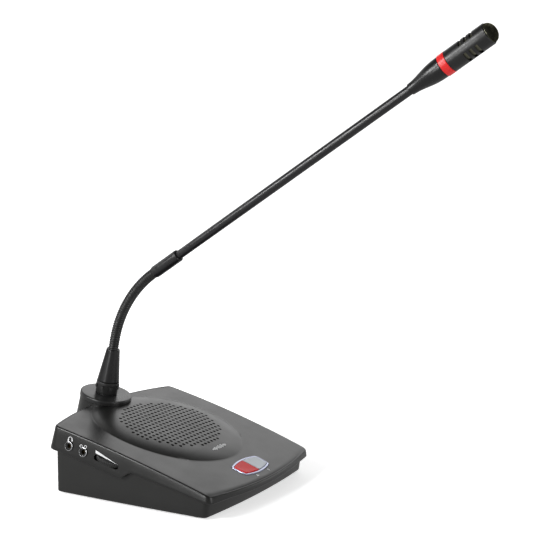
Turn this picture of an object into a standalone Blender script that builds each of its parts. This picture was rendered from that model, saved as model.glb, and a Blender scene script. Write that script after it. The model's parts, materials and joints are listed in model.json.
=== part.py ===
"""Desktop conference microphone unit: a sloping loudspeaker base with a plug-in gooseneck microphone.

Frame: the origin is on the desk plane under the middle of the base. +Z is up, +X is the user's right
hand, and the user sits at -Y, so the push keys are at -Y and the microphone socket is at +Y.
Lengths are millimetres and angles are degrees here, and MM turns lengths into Blender's metres.
"""

import math

import bmesh
import bpy
from mathutils import Matrix, Vector

MM = 0.001
GAP = 0.3                       # clearance left between neighbouring pieces

# --- base: plan and side view ---------------------------------------------------------------
SIDE_HALF = 75.0                # the cover's side edges run from y = +75 to y = -75
COVER_REAR_HALF = 84.5          # half width at the rear corners
COVER_FRONT_HALF = 80.0         # half width at the front corners
COVER_REAR_BOW = 12.4           # how far the rear edge bulges back
COVER_FRONT_BOW = 8.7           # how far the front edge bulges forward
COVER_SIDE_BOW = 0.95
COVER_REAR_Z = 58.1             # top edge height at the rear corners
COVER_FRONT_Z = 20.7            # top edge height at the front corners
CAMBER = 2.35                   # lengthwise crown of the top edge line
WALL = 2.4                      # moulded wall thickness of the cover
SKIRT_WALL = 2.2
SKIRT_FLARE = 0.15              # outward run of the skirt for each unit of depth
SKIRT_REAR_FLARE = 0.1          # added where the skirt faces the rear
SKIRT_DEEP = 20.0               # skirt depth at the rear and beside the jacks
SKIRT_STEP_Y = (9.0, -4.5)      # where the deep skirt steps up on each side
SKIRT_MID = 11.4                # depth just in front of the step
SKIRT_FRONT = 5.0               # depth along the front
SIDE_STOPS = (0, 0.22, 0.42, 0.438, 0.46, 0.484, 0.508, 0.53, 0.56, 0.78, 1)   # points along each side

CASE_FLOOR_Z = 1.5
CASE_FLOOR = 3.0
CASE_WALL = 2.4
CASE_LOW = (84.0, 77.8, 74.0, -69.7, 11.5, 4.2)    # half widths, rear y, front y, rear bow, front bow
CASE_HIGH = (84.0, 78.0, 74.2, -71.6, 11.8, 7.0)   # the same at the rim, so the front wall rakes
CASE_UNDER_SKIRT = 3.0          # how far the case wall reaches up inside the skirt

# --- speaker dome and grille ----------------------------------------------------------------
DOME_Y = 20.0
DOME_HALF = (61.0, 67.0)
DOME_RISE = 3.6
DOME_POWER = 6.0
SPEAKER_Y = 16.0

# --- push keys ------------------------------------------------------------------------------
KEYS_Y = -64.6
BEZEL = (19.4, 18.5, 7.3, -7.3, 3.4, 3.2)          # half widths, rear y, front y, rear bow, front bow
BEZEL_RIM = 1.7
KEY_TRAVEL = 1.2

# --- jacks and volume wheel on the left side ------------------------------------------------
SIDE_LINE_DEPTH = 11.5          # below the cover's top edge
HEADPHONE_Y = 58.2
RECORD_Y = 43.7
WHEEL_Y = 21.0
WHEEL_RADIUS = 16.4
WHEEL_THICK = 3.6
WHEEL_PROUD = 3.0
SLOT_LENGTH = 24.8
SLOT_HEIGHT = 4.8

# --- microphone socket and gooseneck --------------------------------------------------------
SOCKET_Y = 85.4                 # centre of the socket cap's top face
SOCKET_Z = 67.4
SOCKET_TILT = 11.5              # the plug axis leans this far towards the user
CAP_RADIUS = 22.9
CAP_THICK = 4.4
BOSS_DEPTH = 30.0
RING_HEIGHT = 11.5
COLLAR_TOP = 41.45              # all of these are distances along the plug axis
NECK_START = 42.2
BEND_VERTEX = 90.4              # where the plug axis meets the stem's line
STEM_ELEVATION = 33.85          # slope of the straight stem
NECK_LEAD = 6.9                 # straight start of the flexible neck
NECK_SEGMENTS = 6
NECK_RADIUS = 4.55
JOINT_BALL = 3.2
JOINT_GAP = 0.75                # face of a neck piece to its joint centre
COLLAR_RADII = (9.65, 6.2)      # at the foot and the top of its taper
SLEEVE_LENGTH = 31.0
SLEEVE_RADIUS = 5.3
STEM_RADIUS = 3.8
STEM_BORE = 2.6
STEM_LENGTH = 251.1             # visible run from the sleeve to the microphone head
CONE_LENGTH = 30.7
CONE_RADIUS = 8.5
CONE_BELLY = 1.4                # over 1 swells the middle of the cone
LIGHT_RING_LENGTH = 6.1
LIGHT_RING_RADIUS = 8.9
HOUSING_LENGTH = 35.1
HOUSING_RADIUS = 8.8
HOUSING_BORE = 7.2
SOUND_SLOT = (10.8, 2.6)        # length round the housing and height
SOUND_SLOT_PITCH = 5.05
SOUND_SLOT_START = 14.2
MESH_CAP_RADIUS = 8.0
MESH_CAP_RISE = 5.8

# --- fasteners, feet and inner parts --------------------------------------------------------
FEET = {"front_left": (-69, -59), "front_right": (69, -59), "rear_left": (-71, 60), "rear_right": (71, 60)}
POSTS = {"front_left": (-45, -60), "front_right": (45, -60), "rear_left": (-45, 69), "rear_right": (45, 69)}
FOOT_RADIUS = 6.0
POST_TOP = 12.0
LINK_X = 0.0
LINK_Z = 20.0
BOARD_STANDS = [(-44, -44), (44, -44), (-44, -8), (44, -8)]
BOARD_Z = 8.0


def clear_scene():
    for obj in list(bpy.data.objects):
        bpy.data.objects.remove(obj, do_unlink=True)


def new_collection(name):
    group = bpy.data.collections.new(name)
    bpy.context.scene.collection.children.link(group)
    return group


clear_scene()
PARTS = new_collection("gooseneck_podium_microphone")
CUTTERS = new_collection("cutters")


# --- frames: empties that the pieces hang on ------------------------------------------------
class Frame:
    """An empty together with its pose in the object's own coordinates."""

    def __init__(self, name, pose, parent=None):
        self.pose = pose
        self.empty = bpy.data.objects.new(name, None)
        self.empty.empty_display_size = 8 * MM
        PARTS.objects.link(self.empty)
        local = pose
        if parent is not None:
            self.empty.parent = parent.empty
            local = parent.pose.inverted() @ pose
        self.empty.matrix_basis = local


def at(x, y, z):
    return Matrix.Translation(Vector((x, y, z)) * MM)


def tilt(degrees):
    """A turn about X. Positive leans +Z towards the user."""
    return Matrix.Rotation(math.radians(degrees), 4, "X")


def heading(degrees):
    return Matrix.Rotation(math.radians(degrees), 4, "Z")


# --- materials ------------------------------------------------------------------------------
def finish(name, colour, roughness, metallic=0.0, alpha=1.0):
    """A Principled material, made once for each name."""
    found = bpy.data.materials.get(name)
    if found:
        return found
    made = bpy.data.materials.new(name)
    made.use_nodes = True
    shader = made.node_tree.nodes["Principled BSDF"]
    shader.inputs["Base Color"].default_value = (*colour, 1.0)
    shader.inputs["Roughness"].default_value = roughness
    shader.inputs["Metallic"].default_value = metallic
    shader.inputs["Alpha"].default_value = alpha
    return made


COVER_GREY = finish("cover_grey", (0.085, 0.085, 0.085), 0.55)
CASE_BLACK = finish("case_black", (0.02, 0.02, 0.02), 0.6)
SATIN_BLACK = finish("satin_black", (0.015, 0.015, 0.016), 0.35)
PAINTED_STEM = finish("painted_stem", (0.018, 0.018, 0.02), 0.3)
RUBBER = finish("rubber", (0.02, 0.02, 0.02), 0.9)
STEEL = finish("steel", (0.55, 0.55, 0.55), 0.35, 1.0)
CHROME = finish("chrome", (0.75, 0.75, 0.78), 0.15, 1.0)
BRASS = finish("brass", (0.75, 0.58, 0.25), 0.3, 1.0)
BOARD_GREEN = finish("board_green", (0.02, 0.16, 0.06), 0.5)
KEY_RED = finish("key_red", (0.62, 0.02, 0.02), 0.4)
KEY_SILVER = finish("key_silver", (0.45, 0.46, 0.48), 0.4)
BEZEL_SILVER = finish("bezel_silver", (0.62, 0.63, 0.7), 0.25, 0.6)
LIGHT_RED = finish("light_red", (0.62, 0.03, 0.02), 0.3)
CONE_PAPER = finish("cone_paper", (0.03, 0.03, 0.03), 0.9)
FELT = finish("felt", (0.01, 0.01, 0.01), 1.0)
MESH_BLACK = finish("mesh_black", (0.02, 0.02, 0.02), 0.5, 0.4)


# --- modelling tools ------------------------------------------------------------------------
def piece(name, mesh, look, frame, local=Matrix.Identity(4)):
    """A named sub-part on a frame's empty."""
    obj = bpy.data.objects.new(name, mesh)
    mesh.name = name
    mesh.materials.clear()
    mesh.materials.append(look)
    PARTS.objects.link(obj)
    obj.parent = frame.empty
    obj.matrix_basis = local
    return obj


def tool(mesh, frame, local=Matrix.Identity(4)):
    """A solid that only cuts or joins another piece."""
    obj = bpy.data.objects.new("tool", mesh)
    CUTTERS.objects.link(obj)
    obj.parent = frame.empty
    obj.matrix_basis = local
    obj.hide_render = True
    obj.display_type = "WIRE"
    return obj


def combine(target, other, operation):
    boolean = target.modifiers.new(operation.lower(), "BOOLEAN")
    boolean.object = other
    boolean.operation = operation
    boolean.solver = "EXACT"


def cut(target, other):
    combine(target, other, "DIFFERENCE")


def join(target, other):
    combine(target, other, "UNION")


def smooth(mesh, angle=35):
    mesh.shade_smooth()
    mesh.set_sharp_from_angle(angle=math.radians(angle))


def rod_mesh(radius, low, high, steps=24, top_radius=None):
    """A cylinder or cone frustum along local Z, from low to high."""
    bm = bmesh.new()
    bmesh.ops.create_cone(bm, cap_ends=True, segments=steps, radius1=radius * MM,
                          radius2=(radius if top_radius is None else top_radius) * MM,
                          depth=(high - low) * MM)
    bmesh.ops.translate(bm, verts=bm.verts, vec=(0, 0, (low + high) / 2 * MM))
    mesh = bpy.data.meshes.new("rod")
    bm.to_mesh(mesh)
    bm.free()
    smooth(mesh)
    return mesh


def box_mesh(low, high):
    """A box between two opposite corners."""
    bm = bmesh.new()
    bmesh.ops.create_cube(bm, size=1.0)
    low, high = Vector(low), Vector(high)
    size = high - low
    bmesh.ops.scale(bm, verts=bm.verts, vec=size * MM)
    bmesh.ops.translate(bm, verts=bm.verts, vec=(low + high) / 2 * MM)
    mesh = bpy.data.meshes.new("box")
    bm.to_mesh(mesh)
    bm.free()
    return mesh


def prism_mesh(outline, low, high):
    """A flat outline extruded along local Z."""
    bm = bmesh.new()
    face = bm.faces.new([bm.verts.new((x * MM, y * MM, low * MM)) for x, y in outline])
    grown = bmesh.ops.extrude_face_region(bm, geom=[face])["geom"]
    raised = [part for part in grown if isinstance(part, bmesh.types.BMVert)]
    bmesh.ops.translate(bm, verts=raised, vec=(0, 0, (high - low) * MM))
    bmesh.ops.recalc_face_normals(bm, faces=bm.faces)
    mesh = bpy.data.meshes.new("prism")
    bm.to_mesh(mesh)
    bm.free()
    return mesh


def loft_mesh(rings):
    """A closed skin through rings of equally many points. A ring of one point closes an end."""
    bm = bmesh.new()
    loops = [[bm.verts.new(point * MM) for point in ring] for ring in rings]
    for first, second in zip(loops, loops[1:]):
        count = max(len(first), len(second))
        for i in range(count):
            j = (i + 1) % count
            corners = [first[i % len(first)], first[j % len(first)],
                       second[j % len(second)], second[i % len(second)]]
            bm.faces.new(list(dict.fromkeys(corners)))
    bmesh.ops.recalc_face_normals(bm, faces=bm.faces)
    mesh = bpy.data.meshes.new("loft")
    bm.to_mesh(mesh)
    bm.free()
    smooth(mesh, 30)
    return mesh


def turned(name, profile, look, frame, steps=24, closed=False, local=Matrix.Identity(4)):
    """A profile of (radius, height) points, listed down the outer side, spun about local Z."""
    edges = [(i, i + 1) for i in range(len(profile) - 1)]
    if closed:
        edges.append((len(profile) - 1, 0))
    mesh = bpy.data.meshes.new(name)
    mesh.from_pydata([(r * MM, 0.0, z * MM) for r, z in profile], edges, [])
    obj = piece(name, mesh, look, frame, local)
    screw = obj.modifiers.new("spin", "SCREW")
    screw.steps = screw.render_steps = steps
    screw.use_merge_vertices = True
    screw.merge_threshold = 0.00001
    return obj


def arc(radius, centre_z, start, stop, steps):
    """Profile points round (0, centre_z). Angles are from the radius direction up to the axis."""
    angles = [math.radians(start + (stop - start) * i / steps) for i in range(steps + 1)]
    return [(radius * math.cos(a), centre_z + radius * math.sin(a)) for a in angles]


# --- plan outlines --------------------------------------------------------------------------
def outline(rear_half, front_half, rear_y, front_y, rear_bow, front_bow, side_bow=0.9, corner=4.5,
            side_stops=SIDE_STOPS, arc_points=10, grow=0.0):
    """Anticlockwise plan points of a four-sided shape with bowed sides and rounded corners."""
    corners = [Vector((-rear_half - grow, rear_y + grow)), Vector((-front_half - grow, front_y - grow)),
               Vector((front_half + grow, front_y - grow)), Vector((rear_half + grow, rear_y + grow))]
    bows = [side_bow, front_bow, side_bow, rear_bow]
    arc_stops = [k / (arc_points - 1) for k in range(arc_points)]
    stops = [side_stops, arc_stops, [1 - t for t in reversed(side_stops)], arc_stops]
    sides = []
    for i in range(4):
        start, run = corners[i], corners[(i + 1) % 4] - corners[i]
        out = Vector((run.y, -run.x)).normalized()
        trim = corner / run.length
        steps = [trim + (1 - 2 * trim) * t for t in stops[i]]
        sides.append([start + run * t + out * (4 * bows[i] * t * (1 - t)) for t in steps])
    points = []
    for i in range(4):
        points += sides[i]
        before, after, tip = sides[i][-1], sides[(i + 1) % 4][0], corners[(i + 1) % 4]
        for t in (0.25, 0.5, 0.75):
            points.append(before * (1 - t) ** 2 + tip * (2 * t * (1 - t)) + after * t * t)
    return points


def outward(points):
    """Outward unit normals of an anticlockwise outline."""
    normals = []
    for i in range(len(points)):
        run = points[(i + 1) % len(points)] - points[i - 1]
        normals.append(Vector((run.y, -run.x)).normalized())
    return normals


def edge_height(y):
    """Height of the cover's top edge line."""
    t = (SIDE_HALF - y) / (2 * SIDE_HALF)
    return COVER_REAR_Z + (COVER_FRONT_Z - COVER_REAR_Z) * t + 4 * CAMBER * t * (1 - t)


def slope_angle(y):
    """Fall of the cover towards the user, in degrees."""
    return math.degrees(math.atan(edge_height(y + 0.5) - edge_height(y - 0.5)))


def dome_rise(x, y):
    reach = math.hypot(x / DOME_HALF[0], (y - DOME_Y) / DOME_HALF[1])
    return DOME_RISE * (1 - reach ** DOME_POWER) if reach < 1 else 0.0


def cover_height(x, y):
    return edge_height(y) + dome_rise(x, y)


def skirt_depth(y):
    """How far the cover's skirt hangs below the top edge."""
    start, stop = SKIRT_STEP_Y
    if y >= start:
        return SKIRT_DEEP
    if y > stop:
        share = 0.5 - 0.5 * math.cos(math.pi * (y - stop) / (start - stop))
        return SKIRT_MID + (SKIRT_DEEP - SKIRT_MID) * share
    run = (stop - y) / (stop + SIDE_HALF)
    return max(SKIRT_FRONT, SKIRT_MID + (SKIRT_FRONT + 1.5 - SKIRT_MID) * run - max(0.0, run - 1) * 20)


def on_slope(x, y, lift=0.0):
    """A pose on the cover's edge surface, with +Z along its normal."""
    return at(x, y, edge_height(y)) @ tilt(slope_angle(y)) @ at(0, 0, lift)


# --- base shells ----------------------------------------------------------------------------
def cover_rings():
    """Rings of the cover's skin: dome top, rounded edge, skirt, then back along the inside."""
    plan = outline(COVER_REAR_HALF, COVER_FRONT_HALF, SIDE_HALF, -SIDE_HALF, COVER_REAR_BOW,
                   COVER_FRONT_BOW, COVER_SIDE_BOW)
    out = outward(plan)
    centre = Vector((0.0, DOME_Y))
    rim = []
    for point in plan:
        ray = point - centre
        reach = math.hypot(ray.x / DOME_HALF[0], ray.y / DOME_HALF[1])
        rim.append(centre + ray * min(1 / reach, 1 - 5 / ray.length))

    def dome_ring(share, drop):
        flat = [centre + (r - centre) * share for r in rim]
        return [Vector((p.x, p.y, cover_height(p.x, p.y) - drop)) for p in flat]

    def edge_ring(push, drop):
        return [Vector((*(p + n * push), edge_height(p.y) - drop)) for p, n in zip(plan, out)]

    def skirt_ring(push, lift):
        ring = []
        for p, n in zip(plan, out):
            depth = skirt_depth(p.y) - lift
            flare = SKIRT_FLARE + SKIRT_REAR_FLARE * max(0.0, n.y)
            flat = p + n * (depth * flare + push)
            ring.append(Vector((flat.x, flat.y, edge_height(p.y) - depth)))
        return ring

    between = [(r + p) / 2 for r, p in zip(rim, plan)]
    flat_ring = [Vector((p.x, p.y, cover_height(p.x, p.y))) for p in between]
    top = [dome_ring(share, 0) for share in (0.35, 0.6, 0.78, 0.9, 1.0)]
    inside = [dome_ring(share, WALL) for share in (1.0, 0.8, 0.5)]
    return [
        [Vector((0, DOME_Y, cover_height(0, DOME_Y)))], *top, flat_ring,
        edge_ring(-1.1, 0), edge_ring(-0.35, 0.3), edge_ring(0, 1.1),
        skirt_ring(0, 1.2), skirt_ring(-0.8, 0), skirt_ring(-SKIRT_WALL, 0.2),
        edge_ring(-SKIRT_WALL, WALL + 0.4), *inside,
        [Vector((0, DOME_Y, cover_height(0, DOME_Y) - WALL))],
    ]


def case_rings():
    """Rings of the case: floor, outer wall up to a rim that follows the slope, and the inside."""
    low = outline(*CASE_LOW)
    high = outline(*CASE_HIGH)
    out = outward(low)

    def rim_height(p):
        z = min(edge_height(p.y) - skirt_depth(p.y) + CASE_UNDER_SKIRT, edge_height(p.y) - WALL - 1.5)
        under_boss = p.y > SIDE_HALF and abs(p.x) < CAP_RADIUS + 8
        return min(z, SOCKET_Z - BOSS_DEPTH - 1.8) if under_boss else z

    def ring(push, height):
        points = []
        for a, b, n in zip(low, high, out):
            z = height if height is not None else rim_height(b)
            share = (z - CASE_FLOOR_Z) / (rim_height(b) - CASE_FLOOR_Z)
            flat = a.lerp(b, min(1, share)) + n * push
            points.append(Vector((flat.x, flat.y, z)))
        return points

    inner_floor = CASE_FLOOR_Z + CASE_FLOOR
    return [
        [Vector((0, 0, CASE_FLOOR_Z))], ring(-1.0, CASE_FLOOR_Z), ring(0, CASE_FLOOR_Z + 1.0),
        ring(0, None), ring(-CASE_WALL, None), ring(-CASE_WALL, inner_floor),
        [Vector((0, 0, inner_floor))],
    ]


def bezel_outline(grow=0.0):
    return outline(*BEZEL, side_bow=0.6, corner=1.6, side_stops=(0, 0.5, 1), arc_points=9, grow=grow)


def side_wall_pose(y):
    """A pose on the left skirt's outer face: +Z out of the wall, +X up it, +Y back along the edge."""
    share = (SIDE_HALF - y) / (2 * SIDE_HALF)
    half = COVER_REAR_HALF + (COVER_FRONT_HALF - COVER_REAR_HALF) * share
    half += 4 * COVER_SIDE_BOW * share * (1 - share) + SIDE_LINE_DEPTH * SKIRT_FLARE
    lean = math.degrees(math.atan(SKIRT_FLARE))
    wall = Matrix.Rotation(math.radians(lean - 90), 4, "Y")
    return at(-half, y, edge_height(y) - SIDE_LINE_DEPTH) @ wall @ heading(-slope_angle(y))


def build_cover(base, mic_axis):
    cover = piece("top_cover", loft_mesh(cover_rings()), COVER_GREY, base)
    join(cover, tool(rod_mesh(CAP_RADIUS + 0.5, -BOSS_DEPTH, -2, 40, CAP_RADIUS - 0.6), mic_axis))
    cut(cover, tool(rod_mesh(CAP_RADIUS + GAP, -CAP_THICK - GAP, 8, 40), mic_axis))
    cut(cover, tool(rod_mesh(CAP_RADIUS - 2.4, -BOSS_DEPTH + 2.4, 5, 32), mic_axis))
    speaker = on_slope(0, SPEAKER_Y)
    rim = tool(rod_mesh(37.0, -4.0, 1.6, 40), base, speaker)
    cut(rim, tool(rod_mesh(34.5, -6.0, 4.0, 40), base, speaker))
    join(cover, rim)
    for x, y in POSTS.values():
        join(cover, tool(rod_mesh(3.6, POST_TOP + GAP, cover_height(x, y) - 1.2, 12), base, at(x, y, 0)))
        cut(cover, tool(rod_mesh(1.7, 0, cover_height(x, y) - 4.0, 8), base, at(x, y, 0)))
    keys = on_slope(0, KEYS_Y)
    cut(cover, tool(prism_mesh(bezel_outline(GAP), -6, 4), base, keys))
    for y in (HEADPHONE_Y, RECORD_Y):
        cut(cover, tool(rod_mesh(3.3, -6, 3, 20), base, side_wall_pose(y)))
    slot = box_mesh((-SLOT_HEIGHT / 2, -SLOT_LENGTH / 2, -8), (SLOT_HEIGHT / 2, SLOT_LENGTH / 2, 4))
    cut(cover, tool(slot, base, side_wall_pose(WHEEL_Y)))


def build_case(base):
    case = piece("bottom_case", loft_mesh(case_rings()), CASE_BLACK, base)
    for x, y in POSTS.values():
        join(case, tool(rod_mesh(5.0, CASE_FLOOR_Z + 1, POST_TOP, 14), base, at(x, y, 0)))
        cut(case, tool(rod_mesh(3.4, 0, 8.5, 14), base, at(x, y, 0)))
        cut(case, tool(rod_mesh(1.9, 0, POST_TOP + 2, 10), base, at(x, y, 0)))
    for x, y in FEET.values():
        cut(case, tool(rod_mesh(FOOT_RADIUS + GAP, 0, CASE_FLOOR_Z + 1.5, 20), base, at(x, y, 0)))
    for x, y in BOARD_STANDS:
        join(case, tool(rod_mesh(2.6, CASE_FLOOR_Z + 1, BOARD_Z - GAP, 10), base, at(x, y, 0)))
    cut(case, tool(rod_mesh(8.1, -14, 6, 20), base, link_pose()))


def build_feet_and_screws(base):
    for place, (x, y) in FEET.items():
        foot = [(0, 2.7), (5.6, 2.7), (FOOT_RADIUS, 2.4), (FOOT_RADIUS, 0.5), (5.5, 0), (0, 0)]
        turned(f"foot_{place}", foot, RUBBER, base, 16, local=at(x, y, 0))
    for place, (x, y) in POSTS.items():
        screw = [(0, 20), (0.6, 20), (1.25, 18.6), (1.25, 8.2), (2.9, 8.2), (2.9, 7.0), (2.2, 6.2), (0, 6.2)]
        turned(f"case_screw_{place}", screw, STEEL, base, 10, local=at(x, y, 0))


def build_inner_boards(base):
    piece("ballast_plate", box_mesh((-50, 2, 4.8), (50, 58, 9.8)), STEEL, base)
    piece("main_board", box_mesh((-48, -48, BOARD_Z), (48, -4, BOARD_Z + 1.6)), BOARD_GREEN, base)
    keys = on_slope(0, KEYS_Y)
    piece("key_board", box_mesh((-17, -7, -9.5), (17, 7, -8.2)), BOARD_GREEN, base, keys)
    for name, x in (("priority_switch", -9), ("speak_switch", 9)):
        place = keys @ at(x, 0, 0)
        body = piece(name, box_mesh((-3, -3, -7.9), (3, 3, -6.5 - KEY_TRAVEL)), SATIN_BLACK, base, place)
        join(body, tool(rod_mesh(1.7, -7.85, -6.1 - KEY_TRAVEL, 12), base, place))


def build_keys(base):
    keys = on_slope(0, KEYS_Y)
    bezel = piece("key_bezel", prism_mesh(bezel_outline(), -3.2, 0.6), BEZEL_SILVER, base, keys)
    cut(bezel, tool(prism_mesh(bezel_outline(-BEZEL_RIM), -6, 4), base, keys))
    for name, side, look in (("priority_key", -1, KEY_RED), ("speak_key", 1, KEY_SILVER)):
        axis = Frame(f"{name}_axis", keys, base)
        key = piece(name, prism_mesh(bezel_outline(-BEZEL_RIM - 0.35), -4.4, 1.1), look, axis)
        near, far = sorted((0.25 * side, -30 * side))
        cut(key, tool(box_mesh((near, -30, -10), (far, 30, 10)), axis))
        join(key, tool(rod_mesh(2.0, -5.7, -4.0, 12), axis, at(9 * side, 0, 0)))


def build_jack(name, y, base):
    """A panel jack: square body inside, threaded bush through the wall, bright ring nut outside."""
    pose = side_wall_pose(y)
    body = piece(name, box_mesh((-4, -4.2, -14), (4, 4.2, -2.9)), SATIN_BLACK, base, pose)
    join(body, tool(rod_mesh(3.0, -4, 0.6, 20), base, pose))
    cut(body, tool(rod_mesh(1.8, -12, 3, 16), base, pose))
    ring = [(3.3, 1.2), (3.6, 1.2), (3.95, 0.9), (3.95, GAP), (3.3, GAP)]
    turned(f"{name}_nut", ring, CHROME, base, 20, True, pose)


def build_volume(base):
    slot = side_wall_pose(WHEEL_Y).translation / MM
    centre = at(slot.x + WHEEL_RADIUS - WHEEL_PROUD, WHEEL_Y, slot.z) @ tilt(slope_angle(WHEEL_Y))
    axis = Frame("volume_axis", centre, base)
    teeth = 36
    rim = []
    for i in range(teeth * 2):
        radius = WHEEL_RADIUS if i % 2 else WHEEL_RADIUS - 0.6
        angle = math.pi * i / teeth
        rim.append((radius * math.cos(angle), radius * math.sin(angle)))
    half = WHEEL_THICK / 2
    wheel = piece("volume_wheel", prism_mesh(rim, -half, half), SATIN_BLACK, axis)
    cut(wheel, tool(rod_mesh(2.8, -5, 5, 16), axis))
    pot = [(0, half), (2.5, half), (2.5, -half - GAP), (6, -half - GAP), (6, -6.5), (0, -6.5)]
    turned("volume_pot", pot, SATIN_BLACK, base, 20, local=centre)
    board = box_mesh((-7, -12, -8.4), (16, 46, -6.8))
    piece("side_board", board, BOARD_GREEN, base, centre)


def build_speaker(base):
    pose = on_slope(0, SPEAKER_Y)
    gasket = [(34.8, -4.3), (36.8, -4.3), (36.8, -5.6), (34.8, -5.6)]
    turned("speaker_gasket", gasket, RUBBER, base, 24, True, pose)
    frame = [(32.5, -5.9), (37, -5.9), (37, -7.1), (33.2, -7.1), (19, -22), (15, -22), (15, -20.9),
             (18.2, -20.9)]
    turned("speaker_frame", frame, STEEL, base, 28, True, pose)
    cone = [(0, -13), (7, -14.2), (12, -17), (29.4, -6.2), (31, -5.5), (31.3, -6.0), (29.8, -7.0),
            (12.2, -17.8), (11, -19), (0, -19)]
    turned("speaker_cone", cone, CONE_PAPER, base, 24, local=pose)
    magnet = [(0, -19.4), (11, -19.4), (11, -22.3), (17, -22.3), (17, -29.5), (0, -29.5)]
    turned("speaker_magnet", magnet, STEEL, base, 24, local=pose)
    turned("grille_cloth", [(0, -0.3), (34.1, -0.8), (34.1, -1.3), (0, -0.8)], FELT, base, 24, local=pose)


def link_pose():
    """The link socket's pose on the case's rear wall, with +Z pointing out."""
    half, bow = CASE_LOW[0], CASE_LOW[4]
    t = (LINK_X + half) / (2 * half)
    y = CASE_LOW[2] + 4 * bow * t * (1 - t)
    slope = 4 * bow * (1 - 2 * t) / (2 * half)
    outwards = heading(math.degrees(math.atan(slope))) @ Matrix.Rotation(-math.pi / 2, 4, "X")
    return at(LINK_X, y, LINK_Z) @ outwards


def build_link_socket(base):
    pose = link_pose()
    shell = [(0, -9), (6.5, -9), (6.5, 1.8), (9.2, 1.8), (9.6, 1.4), (9.6, 0.7), (7.8, 0.7), (7.8, -12),
             (0, -12)]
    turned("link_socket", shell, SATIN_BLACK, base, 24, local=pose)
    turned("link_socket_insert", [(0, -4), (4.4, -4), (4.4, -8.7), (0, -8.7)], BRASS, base, 16, local=pose)


# --- microphone -----------------------------------------------------------------------------
def build_socket(mic_axis):
    cap = [(8.3, 0), (CAP_RADIUS - 1.5, 0), (CAP_RADIUS - 0.45, -0.45), (CAP_RADIUS, -1.5),
           (CAP_RADIUS, -CAP_THICK), (8.3, -CAP_THICK)]
    turned("socket_cap", cap, COVER_GREY, mic_axis, 36, True)
    shell = [(6.5, 5.5), (7.6, 5.5), (7.9, 5.2), (7.9, -4.6), (11.5, -4.6), (11.5, -6.6), (7.9, -6.6),
             (7.9, -23.5), (6.5, -23.5)]
    turned("mic_socket", shell, STEEL, mic_axis, 20, True)
    block = turned("socket_contacts", [(0, -17), (6.2, -17), (6.2, -22), (0, -22)], SATIN_BLACK, mic_axis, 16)
    for turn in (90, 210, 330):
        cut(block, tool(rod_mesh(1.1, -25, -10, 10), mic_axis, heading(turn) @ at(3.2, 0, 0)))


def build_plug(mic, ring_axis):
    neck = RING_HEIGHT - 0.1
    plug = [(0, neck), (6.2, neck), (6.4, neck - 0.2), (6.4, 7.6), (7.9, 7.6), (7.9, 5.9), (6.2, 5.9),
            (6.2, -10), (0, -10)]
    turned("plug_body", plug, SATIN_BLACK, mic, 20)
    pins = piece("plug_pins", rod_mesh(5.2, -12, -10 - GAP, 20), BRASS, mic)
    for turn in (90, 210, 330):
        join(pins, tool(rod_mesh(0.8, -20, -11, 10), mic, heading(turn) @ at(3.2, 0, 0)))
    ring = [(6.8, RING_HEIGHT), (9.6, RING_HEIGHT), (10, RING_HEIGHT - 0.4), (10, 8.3), (10.9, 8.0),
            (10.9, 6.0), (10, 5.7), (10, 0.8), (9.7, 0.4), (8.3, 0.4), (8.3, 8), (6.8, 8)]
    turned("locking_ring", ring, SATIN_BLACK, ring_axis, 24, True)
    foot_radius, top_radius = COLLAR_RADII
    collar = [*ball_top(COLLAR_TOP + JOINT_GAP), (4.8, COLLAR_TOP), (5.8, COLLAR_TOP - 1.0),
              (top_radius, COLLAR_TOP - 2.95), (foot_radius, RING_HEIGHT + 1.2),
              (foot_radius, RING_HEIGHT + 0.4), (0, RING_HEIGHT + 0.4)]
    turned("neck_collar", collar, PAINTED_STEM, mic, 24)


def ball_top(centre):
    """Profile of a joint ball standing on a piece's top face, from the axis down to the face."""
    dip = math.degrees(math.asin(JOINT_GAP / JOINT_BALL))
    waist = (JOINT_BALL * math.cos(math.radians(dip)), centre - JOINT_GAP)
    return arc(JOINT_BALL, centre, 90, -dip, 3)[:-1] + [waist]


def ball_cup():
    """Profile of the cup round a joint ball at the local origin, from the face in to the axis."""
    cup = JOINT_BALL + GAP
    rise = math.degrees(math.asin(JOINT_GAP / cup))
    return arc(cup, 0, rise, 90, 3)


def neck_layout():
    """Evenly spaced joint centres of the neck, from the collar up, and the direction of the stem."""
    lean, rise = math.radians(90 - SOCKET_TILT), math.radians(STEM_ELEVATION)
    up = Vector((0, -math.cos(lean), math.sin(lean)))
    along = Vector((0, -math.cos(rise), math.sin(rise)))
    foot = Vector((0, SOCKET_Y, SOCKET_Z))
    tangent = BEND_VERTEX - NECK_START - NECK_LEAD
    radius = tangent / math.tan((lean - rise) / 2)
    bend_start = foot + up * (NECK_START + NECK_LEAD)
    centre = bend_start + Vector((0, -math.sin(lean), -math.cos(lean))) * radius
    spacing = (NECK_LEAD + radius * (lean - rise)) / NECK_SEGMENTS
    joints = [foot + up * NECK_START]
    for i in range(1, NECK_SEGMENTS + 1):
        angle = lean - (spacing * i - NECK_LEAD) / radius
        joints.append(centre + Vector((0, math.sin(angle), math.cos(angle))) * radius)
    return joints, along


def pose_along(point, direction):
    """A pose at a point of the neck with +Z along the neck and +X kept sideways."""
    lean = math.degrees(math.atan2(-direction.y, direction.z))
    return at(*point) @ tilt(lean)


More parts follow.
